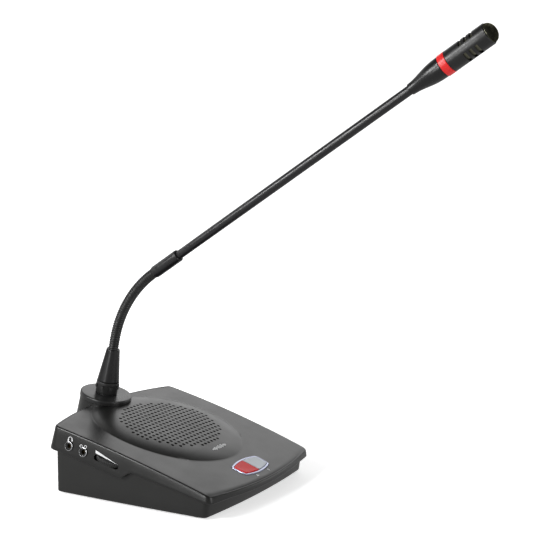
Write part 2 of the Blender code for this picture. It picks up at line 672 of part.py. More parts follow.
def build_neck(mic):
    """The flexible neck as a chain of short pieces, each turning on the ball below it."""
    joints, along = neck_layout()
    parent = mic
    for i in range(NECK_SEGMENTS):
        run = joints[i + 1] - joints[i]
        parent = Frame(f"neck_joint_{i + 1}", pose_along(joints[i], run), parent)
        length = run.length
        face = NECK_RADIUS - 0.3
        body = [*ball_top(length), (face, length - JOINT_GAP), (NECK_RADIUS, length - 1.1),
                (NECK_RADIUS, 1.1), (face, JOINT_GAP), *ball_cup()]
        turned(f"neck_link_{i + 1}", body, PAINTED_STEM, parent, 12)
    stem = Frame(f"neck_joint_{NECK_SEGMENTS + 1}", pose_along(joints[-1], along), parent)
    bore = STEM_RADIUS + GAP
    sleeve = [(0, 15), (bore, 15), (bore, SLEEVE_LENGTH), (SLEEVE_RADIUS - 0.6, SLEEVE_LENGTH),
              (SLEEVE_RADIUS, SLEEVE_LENGTH - 0.7), (SLEEVE_RADIUS, 1.5), (SLEEVE_RADIUS - 0.7, JOINT_GAP),
              *ball_cup()]
    turned("neck_sleeve", sleeve, PAINTED_STEM, stem, 20)
    return stem


def build_stem(stem):
    """Straight stem and the cone that flares to the microphone head. Returns the pose of the stem's end."""
    end = SLEEVE_LENGTH + STEM_LENGTH
    low, high = SLEEVE_LENGTH - 12, end + 8
    tube = [(STEM_BORE, high), (STEM_RADIUS, high), (STEM_RADIUS, low), (STEM_BORE, low)]
    turned("stem_tube", tube, PAINTED_STEM, stem, 20, True)
    bore = STEM_RADIUS + GAP
    narrow = STEM_RADIUS + 0.9
    flare = []
    for share in (0, 0.2, 0.4, 0.6, 0.8):
        fall = (0.5 - 0.5 * math.cos(math.pi * share)) ** CONE_BELLY
        flare.append((CONE_RADIUS - (CONE_RADIUS - narrow) * fall, CONE_LENGTH * (1 - share)))
    cone = [(0, CONE_LENGTH), *flare, (narrow, 0.6), (narrow - 0.4, 0), (bore, 0), (bore, 8.6), (0, 8.6)]
    turned("head_cone", cone, PAINTED_STEM, stem, 24, local=at(0, 0, end))
    return at(0, 0, end)


def build_head(stem, local):
    """The head beyond the cone. Heights run up the stem's axis from the stem's end."""
    low = CONE_LENGTH + GAP
    high = low + LIGHT_RING_LENGTH
    edge = LIGHT_RING_RADIUS - 0.2
    ring = [(6.9, high), (edge, high), (LIGHT_RING_RADIUS, high - 0.3), (LIGHT_RING_RADIUS, low + 0.3),
            (edge, low), (6.9, low)]
    turned("light_ring", ring, LIGHT_RED, stem, 24, True, local)
    disc = [(0, low + 3.6), (6.5, low + 3.6), (6.5, low + 2.6), (0, low + 2.6)]
    turned("light_board", disc, BOARD_GREEN, stem, 16, local=local)
    low = high + GAP
    high = low + HOUSING_LENGTH
    shell = [(HOUSING_BORE, high), (HOUSING_RADIUS - 0.4, high), (HOUSING_RADIUS, high - 0.4),
             (HOUSING_RADIUS, low), (HOUSING_BORE, low)]
    housing = turned("capsule_housing", shell, SATIN_BLACK, stem, 24, True, local)
    half_length, half_height = SOUND_SLOT[0] / 2, SOUND_SLOT[1] / 2
    for turn in (0, 120, 240):
        for row in range(3):
            z = low + SOUND_SLOT_START + SOUND_SLOT_PITCH * row
            slot = box_mesh((5, -half_length, z - half_height), (11, half_length, z + half_height))
            cut(housing, tool(slot, stem, local @ heading(turn)))
    grip = [(5.3, high - 3), (6.9, high - 3), (6.9, high - 8), (5.3, high - 8)]
    turned("capsule_grommet", grip, RUBBER, stem, 16, True, local)
    capsule = [(0, high - 1.5), (4.9, high - 1.5), (4.9, high - 9), (0, high - 9)]
    turned("mic_capsule", capsule, STEEL, stem, 16, local=local)
    low = high + GAP
    thick = 0.9
    outer = dome_profile(MESH_CAP_RADIUS, MESH_CAP_RISE, low, (90, 69, 49, 29, 12, 0))
    inner = dome_profile(MESH_CAP_RADIUS - thick, MESH_CAP_RISE - thick, low, (0, 29, 57, 90))
    turned("mesh_cap", outer + inner, MESH_BLACK, stem, 24, local=local)


def dome_profile(radius, rise, low, angles):
    """Points of a half-ellipse over its foot circle, from the given angles above that circle."""
    points = []
    for angle in angles:
        turn = math.radians(angle)
        points.append((0 if angle == 90 else radius * math.cos(turn), low + rise * math.sin(turn)))
    return points


def main():
    base = Frame("base_unit", Matrix.Identity(4))
    mic_axis = Frame("socket_axis", at(0, SOCKET_Y, SOCKET_Z) @ tilt(SOCKET_TILT), base)
    build_cover(base, mic_axis)
    build_case(base)
    build_feet_and_screws(base)
    build_inner_boards(base)
    build_keys(base)
    build_jack("headphone_jack", HEADPHONE_Y, base)
    build_jack("record_jack", RECORD_Y, base)
    build_volume(base)
    build_speaker(base)
    build_link_socket(base)
    build_socket(mic_axis)
    mic = Frame("microphone", mic_axis.pose, base)
    ring_axis = Frame("locking_ring_axis", mic_axis.pose, mic)
    build_plug(mic, ring_axis)
    stem = build_neck(mic)
    build_head(stem, build_stem(stem))


main()
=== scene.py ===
"""Looks of the desktop conference microphone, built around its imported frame.

Lengths are millimetres here, in the frame's own coordinates, and become metres when a mesh is made.
"""

import json
from math import atan, cos, degrees, hypot, pi, radians, sin

import bmesh
import bpy
from mathutils import Matrix, Vector


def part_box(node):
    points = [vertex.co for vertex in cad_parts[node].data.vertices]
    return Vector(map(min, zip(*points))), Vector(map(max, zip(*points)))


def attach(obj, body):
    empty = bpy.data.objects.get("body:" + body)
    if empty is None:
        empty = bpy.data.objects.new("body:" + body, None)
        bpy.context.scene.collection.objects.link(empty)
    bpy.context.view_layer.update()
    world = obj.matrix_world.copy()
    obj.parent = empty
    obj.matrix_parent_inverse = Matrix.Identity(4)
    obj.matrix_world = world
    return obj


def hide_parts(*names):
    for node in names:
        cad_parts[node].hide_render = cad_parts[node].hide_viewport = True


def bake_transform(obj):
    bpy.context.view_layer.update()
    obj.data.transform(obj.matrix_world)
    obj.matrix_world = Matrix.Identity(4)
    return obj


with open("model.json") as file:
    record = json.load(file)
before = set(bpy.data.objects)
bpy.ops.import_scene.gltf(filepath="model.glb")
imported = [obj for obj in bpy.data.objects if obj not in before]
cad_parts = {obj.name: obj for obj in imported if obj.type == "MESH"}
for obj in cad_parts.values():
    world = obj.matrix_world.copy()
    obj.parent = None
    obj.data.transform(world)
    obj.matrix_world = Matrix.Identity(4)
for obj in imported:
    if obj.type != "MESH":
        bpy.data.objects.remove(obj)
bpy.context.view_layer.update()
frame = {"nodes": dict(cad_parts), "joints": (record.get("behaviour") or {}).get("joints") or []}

MM = 0.001
EDGE_ANGLE = 32
JOINTS = {joint["name"]: joint for joint in frame["joints"]}

# --- the shells' plan and side view ---
SIDE_HALF = 75.0
COVER_PLAN = (84.5, 80.0, 75.0, -75.0, 12.4, 8.7, 0.95)    # half widths, rear y, front y, bows
COVER_REAR_Z = 58.1
COVER_FRONT_Z = 20.7
CAMBER = 2.35
WALL = 2.4
SKIRT_WALL = 2.2
SKIRT_FLARE = 0.15
SKIRT_REAR_FLARE = 0.1
SKIRT_DEEP = 20.0
SKIRT_STEP_Y = (9.0, -4.5)
SKIRT_MID = 11.4
SKIRT_FRONT = 5.0
CORNER = 4.5
EDGE_ROUND = 1.3
SIDE_COUNTS = (54, 60, 54, 60)
CORNER_STEPS = 4

CASE_FLOOR_Z = 1.5
CASE_FLOOR = 3.0
CASE_WALL = 2.4
CASE_LOW = (84.0, 77.8, 74.0, -69.7, 11.5, 4.2, 0.9)
CASE_HIGH = (84.0, 78.0, 74.2, -71.6, 11.8, 7.0, 0.9)
CASE_UNDER_SKIRT = 3.0
CASE_ROUND = 1.2
CASE_UNDER_BOSS = 1.8
BOSS_SIDE_ROOM = 8

DOME_Y = 20.0
DOME_HALF = (61.0, 67.0)
DOME_RISE = 3.6
DOME_POWER = 6.0
GRILLE_Y = 16.0
GRILLE_PITCH = 4.75
GRILLE_CELLS = (20, 18)
GRILLE_HALF = (46.0, 42.0)
DOME_SHARES = (0.3, 0.55, 0.75, 0.88, 0.97)    # rings between the grille's edge and the dome's rim
FLAT_SHARES = (0.05, 0.4, 0.9, 0.985)          # rings between that rim and the shoulder
HOLE_RADIUS = 1.45
HOLE_POINTS = 12

KEYS_Y = -64.6
BEZEL_PLAN = (19.4, 18.5, 7.3, -7.3, 3.4, 3.2, 0.6)
BEZEL_CORNER = 1.6
BEZEL_RIM = 1.7
KEY_GAP = 0.35
LINK_HOLE = 8.1
LINK_PROUD = 1.8
LINK_PINS = 7
WHEEL_Y = 21.0
SLOT_HALF = (2.4, 12.4)
JACK_HOLE = 3.3
SIDE_LINE_DEPTH = 11.5
BOSS_DEPTH = 30.0
CAP_THICK = 4.4
POST_TOP = 12.0
POST_RADIUS = 5
COVER_POST_RADIUS = 3.6
SCREW_HOLE = 1.9
SCREW_PILOT = 1.7
SCREW_WELL = (3.4, 8.5)
FOOT_WELL = 6.3
STAND_RADIUS = 2.6
BOARD_TOP = 7.7
BOARD_STANDS = [(-44, -44), (44, -44), (-44, -8), (44, -8)]
CORNERS = ("front_left", "front_right", "rear_left", "rear_right")
GAP = 0.3

RING_HEIGHT = 11.5
LUGS = 8
COLLAR_RADII = (9.65, 6.2)
SLEEVE_RADIUS = 5.3
STEM_RADIUS = 3.8
STEM_BORE = 2.6
CONE_RADIUS = 8.5
CONE_BELLY = 1.4
CONE_STEPS = 12
LIGHT_RING_RADIUS = 8.9
HOUSING_RADIUS = 8.8
HOUSING_BORE = 7.2
HOUSING_SLOTS = (14.2, 5.05, 3)    # the first one's height, their spacing and how many
HOUSING_SLOT_HALF = (5.4, 1.3)
MESH_CAP_RADIUS = 8.0
MESH_WIRE = 0.1
MESH_DEEP = 0.2

# --- materials ---
def srgb(red, green, blue):
    """Linear colour from 0-255 display values."""
    def channel(value):
        value /= 255
        return value / 12.92 if value <= 0.04045 else ((value + 0.055) / 1.055) ** 2.4
    return channel(red), channel(green), channel(blue)


class Look:
    """Builds one Principled material out of noise layers that read the piece's own coordinates."""

    def __init__(self, name, colour, roughness, **sockets):
        self.material = bpy.data.materials.new(name)
        self.material.use_nodes = True
        self.tree = self.material.node_tree
        self.shader = self.tree.nodes["Principled BSDF"]
        self.colour = colour
        self.height = None
        values = {"Base Color": (*colour, 1), "Roughness": roughness, **sockets}
        for socket, value in values.items():
            self.shader.inputs[socket.replace("_", " ")].default_value = value
        self.coordinates = self.node("ShaderNodeTexCoord").outputs["Object"]

    def node(self, kind, values=(), **settings):
        made = self.tree.nodes.new(kind)
        for key, value in settings.items():
            setattr(made, key, value)
        for socket, value in dict(values).items():
            made.inputs[socket].default_value = value
        return made

    def join(self, output, target):
        self.tree.links.new(output, target)

    def noise(self, grain, detail, stretch=(1, 1, 1)):
        """Noise whose cells are about grain millimetres across."""
        mapping = self.node("ShaderNodeMapping", {"Scale": stretch})
        self.join(self.coordinates, mapping.inputs["Vector"])
        noise = self.node("ShaderNodeTexNoise", {"Scale": 1 / (grain * MM), "Detail": detail})
        self.join(mapping.outputs["Vector"], noise.inputs["Vector"])
        return noise.outputs["Fac"]

    def cell_edges(self, grain):
        """Distance to the edges of cells about grain millimetres across."""
        scale = {"Scale": 1 / (grain * MM)}
        cells = self.node("ShaderNodeTexVoronoi", scale, feature="DISTANCE_TO_EDGE")
        self.join(self.coordinates, cells.inputs["Vector"])
        return cells.outputs["Distance"]

    def spread(self, value, low, high, start=0.3, stop=0.7):
        """A value read between start and stop, set out between low and high."""
        limits = {"From Min": start, "From Max": stop, "To Min": low, "To Max": high}
        ranged = self.node("ShaderNodeMapRange", limits)
        self.join(value, ranged.inputs["Value"])
        return ranged.outputs["Result"]

    def tint(self, value, dark, light):
        """Base colour between dark and light times the look's colour."""
        dim = (*[c * dark for c in self.colour], 1)
        bright = (*[min(1, c * light) for c in self.colour], 1)
        mix = self.node("ShaderNodeMix", {6: dim, 7: bright}, data_type="RGBA")
        self.join(self.spread(value, 0, 1), mix.inputs[0])
        self.join(mix.outputs[2], self.shader.inputs["Base Color"])

    def worn(self, value, low, high):
        """Roughness that wanders between low and high."""
        self.join(self.spread(value, low, high), self.shader.inputs["Roughness"])

    def relief(self, value, depth, strength=1.0):
        """Bump of depth millimetres, laid over any before it."""
        bump = self.node("ShaderNodeBump", {"Distance": depth * MM, "Strength": strength})
        self.join(value, bump.inputs["Height"])
        if self.height is not None:
            self.join(self.height, bump.inputs["Normal"])
        self.height = bump.outputs["Normal"]
        self.join(self.height, self.shader.inputs["Normal"])


def moulded(name, colour, roughness, grain=0.45, depth=0.03, **sockets):
    """Textured moulded plastic: fine spark-eroded grain, slow shade changes and handled patches."""
    look = Look(name, srgb(*colour), roughness, **sockets)
    look.relief(look.noise(grain, 4), depth)
    look.relief(look.noise(grain * 14, 2), depth * 1.5, 0.4)
    look.worn(look.noise(19, 3), roughness - 0.03, roughness + 0.04)
    look.tint(look.noise(31, 5), 0.95, 1.05)
    return look


def painted(name, colour, roughness):
    """Semi-gloss paint over metal, with slight orange peel and dust specks."""
    look = Look(name, srgb(*colour), roughness)
    look.relief(look.noise(1.6, 2), 0.0015)
    look.relief(look.noise(0.25, 3), 0.0004)
    look.worn(look.noise(7, 5), roughness - 0.05, roughness + 0.1)
    look.tint(look.noise(11, 6), 0.9, 1.12)
    return look


def metal(name, colour, roughness, stretch=(1, 1, 9), grain=0.8):
    """Machined metal with fine tool lines."""
    look = Look(name, srgb(*colour), roughness, Metallic=1.0)
    look.relief(look.noise(grain, 4, stretch), 0.006)
    look.worn(look.noise(grain * 3, 5, stretch), roughness * 0.7, roughness * 1.5)
    look.tint(look.noise(6, 4), 0.86, 1.06)
    return look


def matt(name, colour, roughness):
    """Rubber, felt or paper, with a fine grain and no gloss; also the painted shade in the mesh
    dome's cells.
    """
    look = Look(name, srgb(*colour), roughness)
    look.relief(look.noise(0.5, 5), 0.04)
    look.worn(look.noise(5, 4), roughness - 0.1, roughness)
    look.tint(look.noise(3, 5), 0.8, 1.25)
    return look


def circuit_board(name, colour):
    """Solder mask over copper runs."""
    look = Look(name, srgb(*colour), 0.45)
    runs = look.cell_edges(2.6)
    look.tint(look.spread(runs, 0.25, 0.75, 0.05, 0.12), 0.7, 1.5)
    look.relief(runs, 0.05)
    look.worn(look.noise(4, 4), 0.35, 0.55)
    return look


LOOKS = {
    "cover": moulded("cover_grey_moulded", (23, 23, 22), 0.31, 0.4, 0.004),
    "cap": moulded("cap_grey_moulded", (33, 33, 33), 0.3, 0.35, 0.004),
    "case": moulded("case_black_moulded", (27, 27, 26), 0.4, 0.4, 0.008),
    "key_red": moulded("key_red_gloss", (214, 22, 28), 0.42, 0.6, 0.008, Specular_IOR_Level=0.3),
    "key_silver": moulded("key_silver_satin", (176, 182, 188), 0.34, 0.6, 0.008, Metallic=0.25),
    "bezel": moulded("bezel_silver_satin", (186, 190, 214), 0.25, 0.5, 0.006, Metallic=0.55),
    "black": moulded("satin_black_moulded", (26, 26, 26), 0.38, 0.4, 0.012),
    "wheel": moulded("wheel_black_moulded", (30, 30, 30), 0.45, 0.4, 0.02),
    "stem": painted("stem_black_paint", (24, 24, 26), 0.27),
    "neck": painted("neck_black_paint", (30, 30, 30), 0.34),
    "collar": moulded("collar_black_moulded", (15, 15, 16), 0.27, 0.5, 0.001),
    "ring": moulded("ring_black_moulded", (34, 34, 34), 0.4, 0.4, 0.015),
    "housing": painted("housing_black_paint", (22, 22, 22), 0.32),
    "light": moulded("light_red_clear", (232, 38, 38), 0.3, 0.8, 0.002,
                     Subsurface_Weight=0.25, Subsurface_Radius=(0.004, 0.0006, 0.0005)),
    "basket": metal("mesh_black_wire", (112, 111, 96), 0.42, (1, 1, 1), 0.5),
    # Painted shade: the mesh dome's sunk cells are solid and dark, standing in for the shaded
    # inside seen through its openings.
    "basket_painted_shade": matt("mesh_cell_painted_shade", (40, 40, 35), 0.8),
    "rubber": matt("foot_rubber", (30, 30, 30), 0.85),
    "steel": metal("zinc_steel", (178, 180, 184), 0.35),
    "chrome": metal("nickel_bright", (205, 206, 208), 0.18, (1, 1, 3)),
    "brass": metal("brass_contact", (206, 172, 96), 0.28),
    "board": circuit_board("board_green_mask", (26, 96, 58)),
    "paper": matt("cone_paper_fibre", (38, 37, 35), 0.9),
    "felt": matt("grille_felt", (12, 12, 12), 1.0),
    "print": painted("print_white_ink", (226, 227, 228), 0.5),
    "pot": moulded("pot_black_moulded", (28, 28, 30), 0.5),
}

CARRIED_NODES = {
    "steel": "ballast_plate speaker_frame speaker_magnet mic_socket mic_capsule",
    "board": "main_board key_board side_board light_board",
    "black": "priority_switch speak_switch socket_contacts plug_body",
    "rubber": "speaker_gasket capsule_grommet", "paper": "speaker_cone",
    "felt": "grille_cloth", "brass": "plug_pins", "pot": "volume_pot",
}


# --- mesh tools ---
def placed(name, data):
    """A new object in the scene."""
    obj = bpy.data.objects.new(name, data)
    bpy.context.scene.collection.objects.link(obj)
    return obj


def shade(mesh, angle):
    """Smooth shading that stays sharp where faces turn by more than angle degrees."""
    mesh.shade_smooth()
    mesh.set_sharp_from_angle(angle=radians(angle))


def opened(*meshes):
    """A bmesh of all these meshes."""
    made = bmesh.new()
    for mesh in meshes:
        made.from_mesh(mesh)
    return made


def close(made, mesh, angle=EDGE_ANGLE):
    """Writes a bmesh to a mesh and shades it."""
    made.to_mesh(mesh)
    made.free()
    shade(mesh, angle)


def solid(name, points, faces, pose=Matrix.Identity(4), look=None, angle=EDGE_ANGLE):
    """An object from millimetre points, turned into place by pose."""
    mesh = bpy.data.meshes.new(name)
    mesh.from_pydata([pose @ (Vector(point) * MM) for point in points], [], faces)
    made = opened(mesh)
    bmesh.ops.recalc_face_normals(made, faces=made.faces)
    close(made, mesh, angle)
    obj = placed(name, mesh)
    if look:
        mesh.materials.append(LOOKS[look].material)
    return obj


def loft(name, rings, pose=Matrix.Identity(4), look=None, closed=False, angle=EDGE_ANGLE):
    """A skin through rings of equally many points, or of one, capped unless it is closed."""
    count = max(len(ring) for ring in rings)
    points = [point for ring in rings for point in ring]
    starts = [sum(len(ring) for ring in rings[:i]) for i in range(len(rings))]
    spans = [[starts[i] + k % len(ring) for k in range(count + 1)] for i, ring in enumerate(rings)]
    for span, ring in zip(spans, rings):
        span[count] = span[0]
    faces = []
    for first, second in zip(spans, spans[1:] + ([spans[0]] if closed else [])):
        for k in range(count):
            corners = [first[k], first[k + 1], second[k + 1], second[k]]
            faces.append(list(dict.fromkeys(corners)))
    if not closed:
        faces += [spans[i][:count] for i in (0, -1) if len(rings[i]) > 1]
    return solid(name, points, faces, pose, look, angle)


def polar(radius, angle):
    return radius * cos(angle), radius * sin(angle)


def circle(radius, height, steps):
    """Points round a circle, or its middle alone when the radius is nothing."""
    if radius < 1e-6:
        return [Vector((0, 0, height))]
    return [Vector((*polar(radius, 2 * pi * k / steps), height)) for k in range(steps)]


def lathe(name, profile, pose, look=None, steps=64, closed=False, angle=EDGE_ANGLE):
    """A profile of (radius, height) points spun about the pose's Z."""
    return loft(name, [circle(r, z, steps) for r, z in profile], pose, look, closed, angle)


def rounded(corners, steps=4):
    """A profile whose (radius, height, fillet) corners are rounded off."""
    path = []
    for i, corner in enumerate(corners):
        tip = Vector(corner[:2])
        if len(corner) == 2:
            path.append(tip)
            continue
        before = Vector(corners[i - 1][:2])
        after = Vector(corners[(i + 1) % len(corners)][:2])
        start = tip + (before - tip).normalized() * corner[2]
        stop = tip + (after - tip).normalized() * corner[2]
        path += bend(start, tip, stop, steps)
    return path


def bend(start, tip, stop, steps):
    """Points of a quadratic curve from start to stop, drawn towards tip."""
    shares = [k / steps for k in range(steps + 1)]
    return [start * (1 - t) ** 2 + tip * (2 * t * (1 - t)) + stop * t * t for t in shares]


def rod(radius, low, high, pose, steps=48):
    return lathe("tool", [(radius, low), (radius, high)], pose, steps=steps)


def block(low, high, pose, name="tool", look=None, bevel=0.0):
    """A box, with its edges rounded over by bevel millimetres."""
    low, high = Vector(low), Vector(high)
    flat = [(low.x, low.y), (high.x, low.y), (high.x, high.y), (low.x, high.y)]
    rings = [[Vector((x, y, z)) for x, y in flat] for z in (low.z, high.z)]
    obj = loft(name, rings, pose, look)
    if bevel:
        made = opened(obj.data)
        bmesh.ops.bevel(made, geom=made.edges[:], offset=bevel * MM, segments=2, profile=0.5,
                        affect="EDGES")
        close(made, obj.data, 50)
    return obj


def merge(objects, name="tool"):
    """One object out of several shells."""
    close(opened(*[obj.data for obj in objects]), objects[0].data)
    objects[0].name = name
    for obj in objects[1:]:
        bpy.data.objects.remove(obj)
    return objects[0]


def combine(target, tools, operation):
    """Adds the tools to the target or cuts them from it, and removes them."""
    other = merge(tools) if len(tools) > 1 else tools[0]
    modifier = target.modifiers.new("combine", "BOOLEAN")
    modifier.object = other
    modifier.operation = operation
    modifier.solver = "EXACT"
    graph = bpy.context.evaluated_depsgraph_get()
    mesh = bpy.data.meshes.new_from_object(target.evaluated_get(graph))
    target.modifiers.clear()
    target.data = mesh
    shade(mesh, EDGE_ANGLE)
    bpy.data.objects.remove(other)


def cut(target, *tools):
    combine(target, tools, "DIFFERENCE")


def join(target, *tools):
    combine(target, tools, "UNION")


# --- where things are, read from the frame ---
def centre(node):
    low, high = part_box(node)
    return (low + high) / 2


def half_across(node):
    """Half a CAD node's width along X, in millimetres."""
    low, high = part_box(node)
    return (high.x - low.x) / 2 / MM


def under(node):
    """A pose on the desk below the middle of a CAD node."""
    return at(*centre(node).xy / MM, 0)


def pose_of(origin, up, side=Vector((1, 0, 0))):
    """A pose at a point in metres with Z along up and X as near side as it can be."""
    up = Vector(up).normalized()
    across = (side - up * side.dot(up)).normalized()
    matrix = Matrix((across, up.cross(across), up)).transposed().to_4x4()
    matrix.translation = origin
    return matrix


def reach(node, direction):
    """Lowest and highest place of a CAD node along a direction, in metres."""
    places = [vertex.co.dot(direction) for vertex in frame["nodes"][node].data.vertices]
    return min(places), max(places)


def joint_point(name):
    return Vector(JOINTS[name]["pos_m"])


def microphone_pose():
    """The plug axis, from the middle of the socket cap's top face."""
    up = Vector(JOINTS["mic_unplug"]["axis"]).normalized()
    point = joint_point("neck_nod_1")
    return pose_of(point + up * (reach("socket_cap", up)[1] - point.dot(up)), up)


def stem_pose():
    point = joint_point("neck_nod_4")
    return pose_of(point, centre("capsule_grommet") - point)


MIC = microphone_pose()
CAP_RADIUS = half_across("socket_cap")
STEM = stem_pose()
STEM_UP = STEM.to_3x3() @ Vector((0, 0, 1))


def stem_span(node):
    """Where a stem node starts and ends along the stem, in millimetres."""
    low, high = reach(node, STEM_UP)
    start = STEM.translation.dot(STEM_UP)
    return (low - start) / MM, (high - start) / MM


def at(x, y, z):
    return Matrix.Translation(Vector((x, y, z)) * MM)


def turn(angle, axis="Z"):
    """A turn by an angle in degrees."""
    return Matrix.Rotation(radians(angle), 4, axis)


# --- surfaces of the shells ---
def forward_share(y):
    """How far forward y is along a side, from 0 at the rear to 1 at the front."""
    return (SIDE_HALF - y) / (2 * SIDE_HALF)


def half_width(y):
    """Half the width of the cover's top edge line."""
    rear, front, bow = COVER_PLAN[0], COVER_PLAN[1], COVER_PLAN[6]
    t = forward_share(y)
    return rear + (front - rear) * t + 4 * bow * t * (1 - t)


def edge_height(y):
    """Height of the cover's top edge line."""
    t = forward_share(y)
    return COVER_REAR_Z + (COVER_FRONT_Z - COVER_REAR_Z) * t + 4 * CAMBER * t * (1 - t)


def slope_angle(y):
    """The top edge line's slope in degrees."""
    return degrees(atan(edge_height(y + 0.5) - edge_height(y - 0.5)))


def cover_height(x, y):
    reach_out = hypot(x / DOME_HALF[0], (y - DOME_Y) / DOME_HALF[1])
    rise = DOME_RISE * (1 - reach_out ** DOME_POWER) if reach_out < 1 else 0.0
    return edge_height(y) + rise


def skirt_depth(y):
    """How far the skirt hangs below the top edge line: deep at the rear, shallow in front."""
    start, stop = SKIRT_STEP_Y
    if y >= start:
        return SKIRT_DEEP
    if y > stop:
        share = 0.5 - 0.5 * cos(pi * (y - stop) / (start - stop))
        return SKIRT_MID + (SKIRT_DEEP - SKIRT_MID) * share
    run = (stop - y) / (stop + SIDE_HALF)
    past_side = max(0.0, run - 1) * 20
    return max(SKIRT_FRONT, SKIRT_MID + (SKIRT_FRONT + 1.5 - SKIRT_MID) * run - past_side)


def on_slope(x, y):
    """A pose on the top edge line's slope, with +Z out of it."""
    return at(x, y, edge_height(y)) @ turn(slope_angle(y), "X")


def side_stops(count):
    """Points along a side edge, close together where the skirt steps."""
    start, stop = [forward_share(y) for y in SKIRT_STEP_Y]
    start, stop = start - 0.01, stop + 0.01
    third = count // 3
    middle = count - 2 * third
    return ([start * k / third for k in range(third)]
            + [start + (stop - start) * k / middle for k in range(middle)]
            + [stop + (1 - stop) * k / third for k in range(third + 1)])


def plan_ring(rear_half, front_half, rear_y, front_y, rear_bow, front_bow, side_bow,
              counts=SIDE_COUNTS, corner=CORNER, even=False, grow=0.0):
    """Anticlockwise plan points from the rear left corner's middle, counts of them to a side."""
    rear = Vector((rear_half + grow, rear_y + grow))
    front = Vector((front_half + grow, front_y - grow))
    corners = [Vector((-rear.x, rear.y)), Vector((-front.x, front.y)), front, rear]
    bows = [side_bow, front_bow, side_bow, rear_bow]
    sides = []
    for i in range(4):
        start, run = corners[i], corners[(i + 1) % 4] - corners[i]
        out = Vector((run.y, -run.x)).normalized()
        trim = corner / run.length
        straight = counts[i] - 2 * CORNER_STEPS
        stops = [k / straight for k in range(straight + 1)]
        if not even and i in (0, 2):
            stops = side_stops(straight)
            if i == 2:
                stops = [1 - t for t in reversed(stops)]
        steps = [trim + (1 - 2 * trim) * t for t in stops]
        sides.append([start + run * t + out * (4 * bows[i] * t * (1 - t)) for t in steps])
    ring = []
    bends = [bend(sides[i - 1][-1], corners[i], sides[i][0], 2 * CORNER_STEPS) for i in range(4)]
    for i in range(4):
        ring += bends[i][CORNER_STEPS:-1] + sides[i] + bends[(i + 1) % 4][1:CORNER_STEPS]
    return ring


def outward(points):
    """The outward direction at each point of an anticlockwise ring."""
    normals = []
    for i in range(len(points)):
        run = points[(i + 1) % len(points)] - points[i - 1]
        normals.append(Vector((run.y, -run.x)).normalized())
    return normals


def inset(points, distance):
    """A convex ring moved in by a distance, with its corners mitred."""
    moved = []
    for i, point in enumerate(points):
        before = (point - points[i - 1]).normalized()
        after = (points[(i + 1) % len(points)] - point).normalized()
        first, second = Vector((before.y, -before.x)), Vector((after.y, -after.x))
        moved.append(point - (first + second) * (distance / (1 + first.dot(second))))
    return moved


def raised(points, z):
    return [Vector((p.x, p.y, z)) for p in points]


def bezel_ring(grow):
    return plan_ring(*BEZEL_PLAN, (14, 28, 14, 28), BEZEL_CORNER, even=True, grow=grow)


def wall_pose(y):
    """A pose on the left skirt's face: +Z out of it, +X up it, +Y back along the edge."""
    half = half_width(y) + SIDE_LINE_DEPTH * SKIRT_FLARE
    lean = turn(degrees(atan(SKIRT_FLARE)) - 90, "Y")
    return at(-half, y, edge_height(y) - SIDE_LINE_DEPTH) @ lean @ turn(-slope_angle(y))


# --- top cover ---
def grille_patch(points, faces, drop):
    """A lattice of square cells over the dome. Cells inside the grille hold a round hole."""
    third = GRILLE_PITCH / 3
    low_x = -GRILLE_PITCH * GRILLE_CELLS[0] / 2
    low_y = GRILLE_Y - GRILLE_PITCH * GRILLE_CELLS[1] / 2
    known = {}

    def place(x, y):
        points.append(Vector((x, y, cover_height(x, y) - drop)))
        return len(points) - 1

    def knot(a, b):
        if (a, b) not in known:
            known[a, b] = place(low_x + a * third, low_y + b * third)
        return known[a, b]

    holes = []
    for i in range(GRILLE_CELLS[0]):
        for j in range(GRILLE_CELLS[1]):
            x, y = low_x + (i + 0.5) * GRILLE_PITCH, low_y + (j + 0.5) * GRILLE_PITCH
            a, b = 3 * i, 3 * j
            if hypot(x / GRILLE_HALF[0], (y - GRILLE_Y) / GRILLE_HALF[1]) >= 1:
                for u in range(a, a + 3):
                    for v in range(b, b + 3):
                        corners = ((u, v), (u + 1, v), (u + 1, v + 1), (u, v + 1))
                        faces.append([knot(*corner) for corner in corners])
                continue
            border = ([knot(u, b + 3) for u in range(a + 3, a, -1)]
                      + [knot(a, v) for v in range(b + 3, b, -1)]
                      + [knot(u, b) for u in range(a, a + 3)]
                      + [knot(a + 3, v) for v in range(b, b + 3)])
            around = [polar(HOLE_RADIUS, radians(45 + 30 * k)) for k in range(HOLE_POINTS)]
            hole = [place(x + right, y + back) for right, back in around]
            bridge(faces, border, hole)
            holes.append(hole)
    wide, deep = 3 * GRILLE_CELLS[0], 3 * GRILLE_CELLS[1]
    loop = ([knot(0, v) for v in range(deep, 0, -1)] + [knot(u, 0) for u in range(wide)]
            + [knot(wide, v) for v in range(deep)] + [knot(u, deep) for u in range(wide, 0, -1)])
    return loop, holes


def bridge(faces, first, second):
    """Joins two loops of equally many points with a band of faces."""
    for k in range(len(first)):
        following = (k + 1) % len(first)
        faces.append([first[k], first[following], second[following], second[k]])


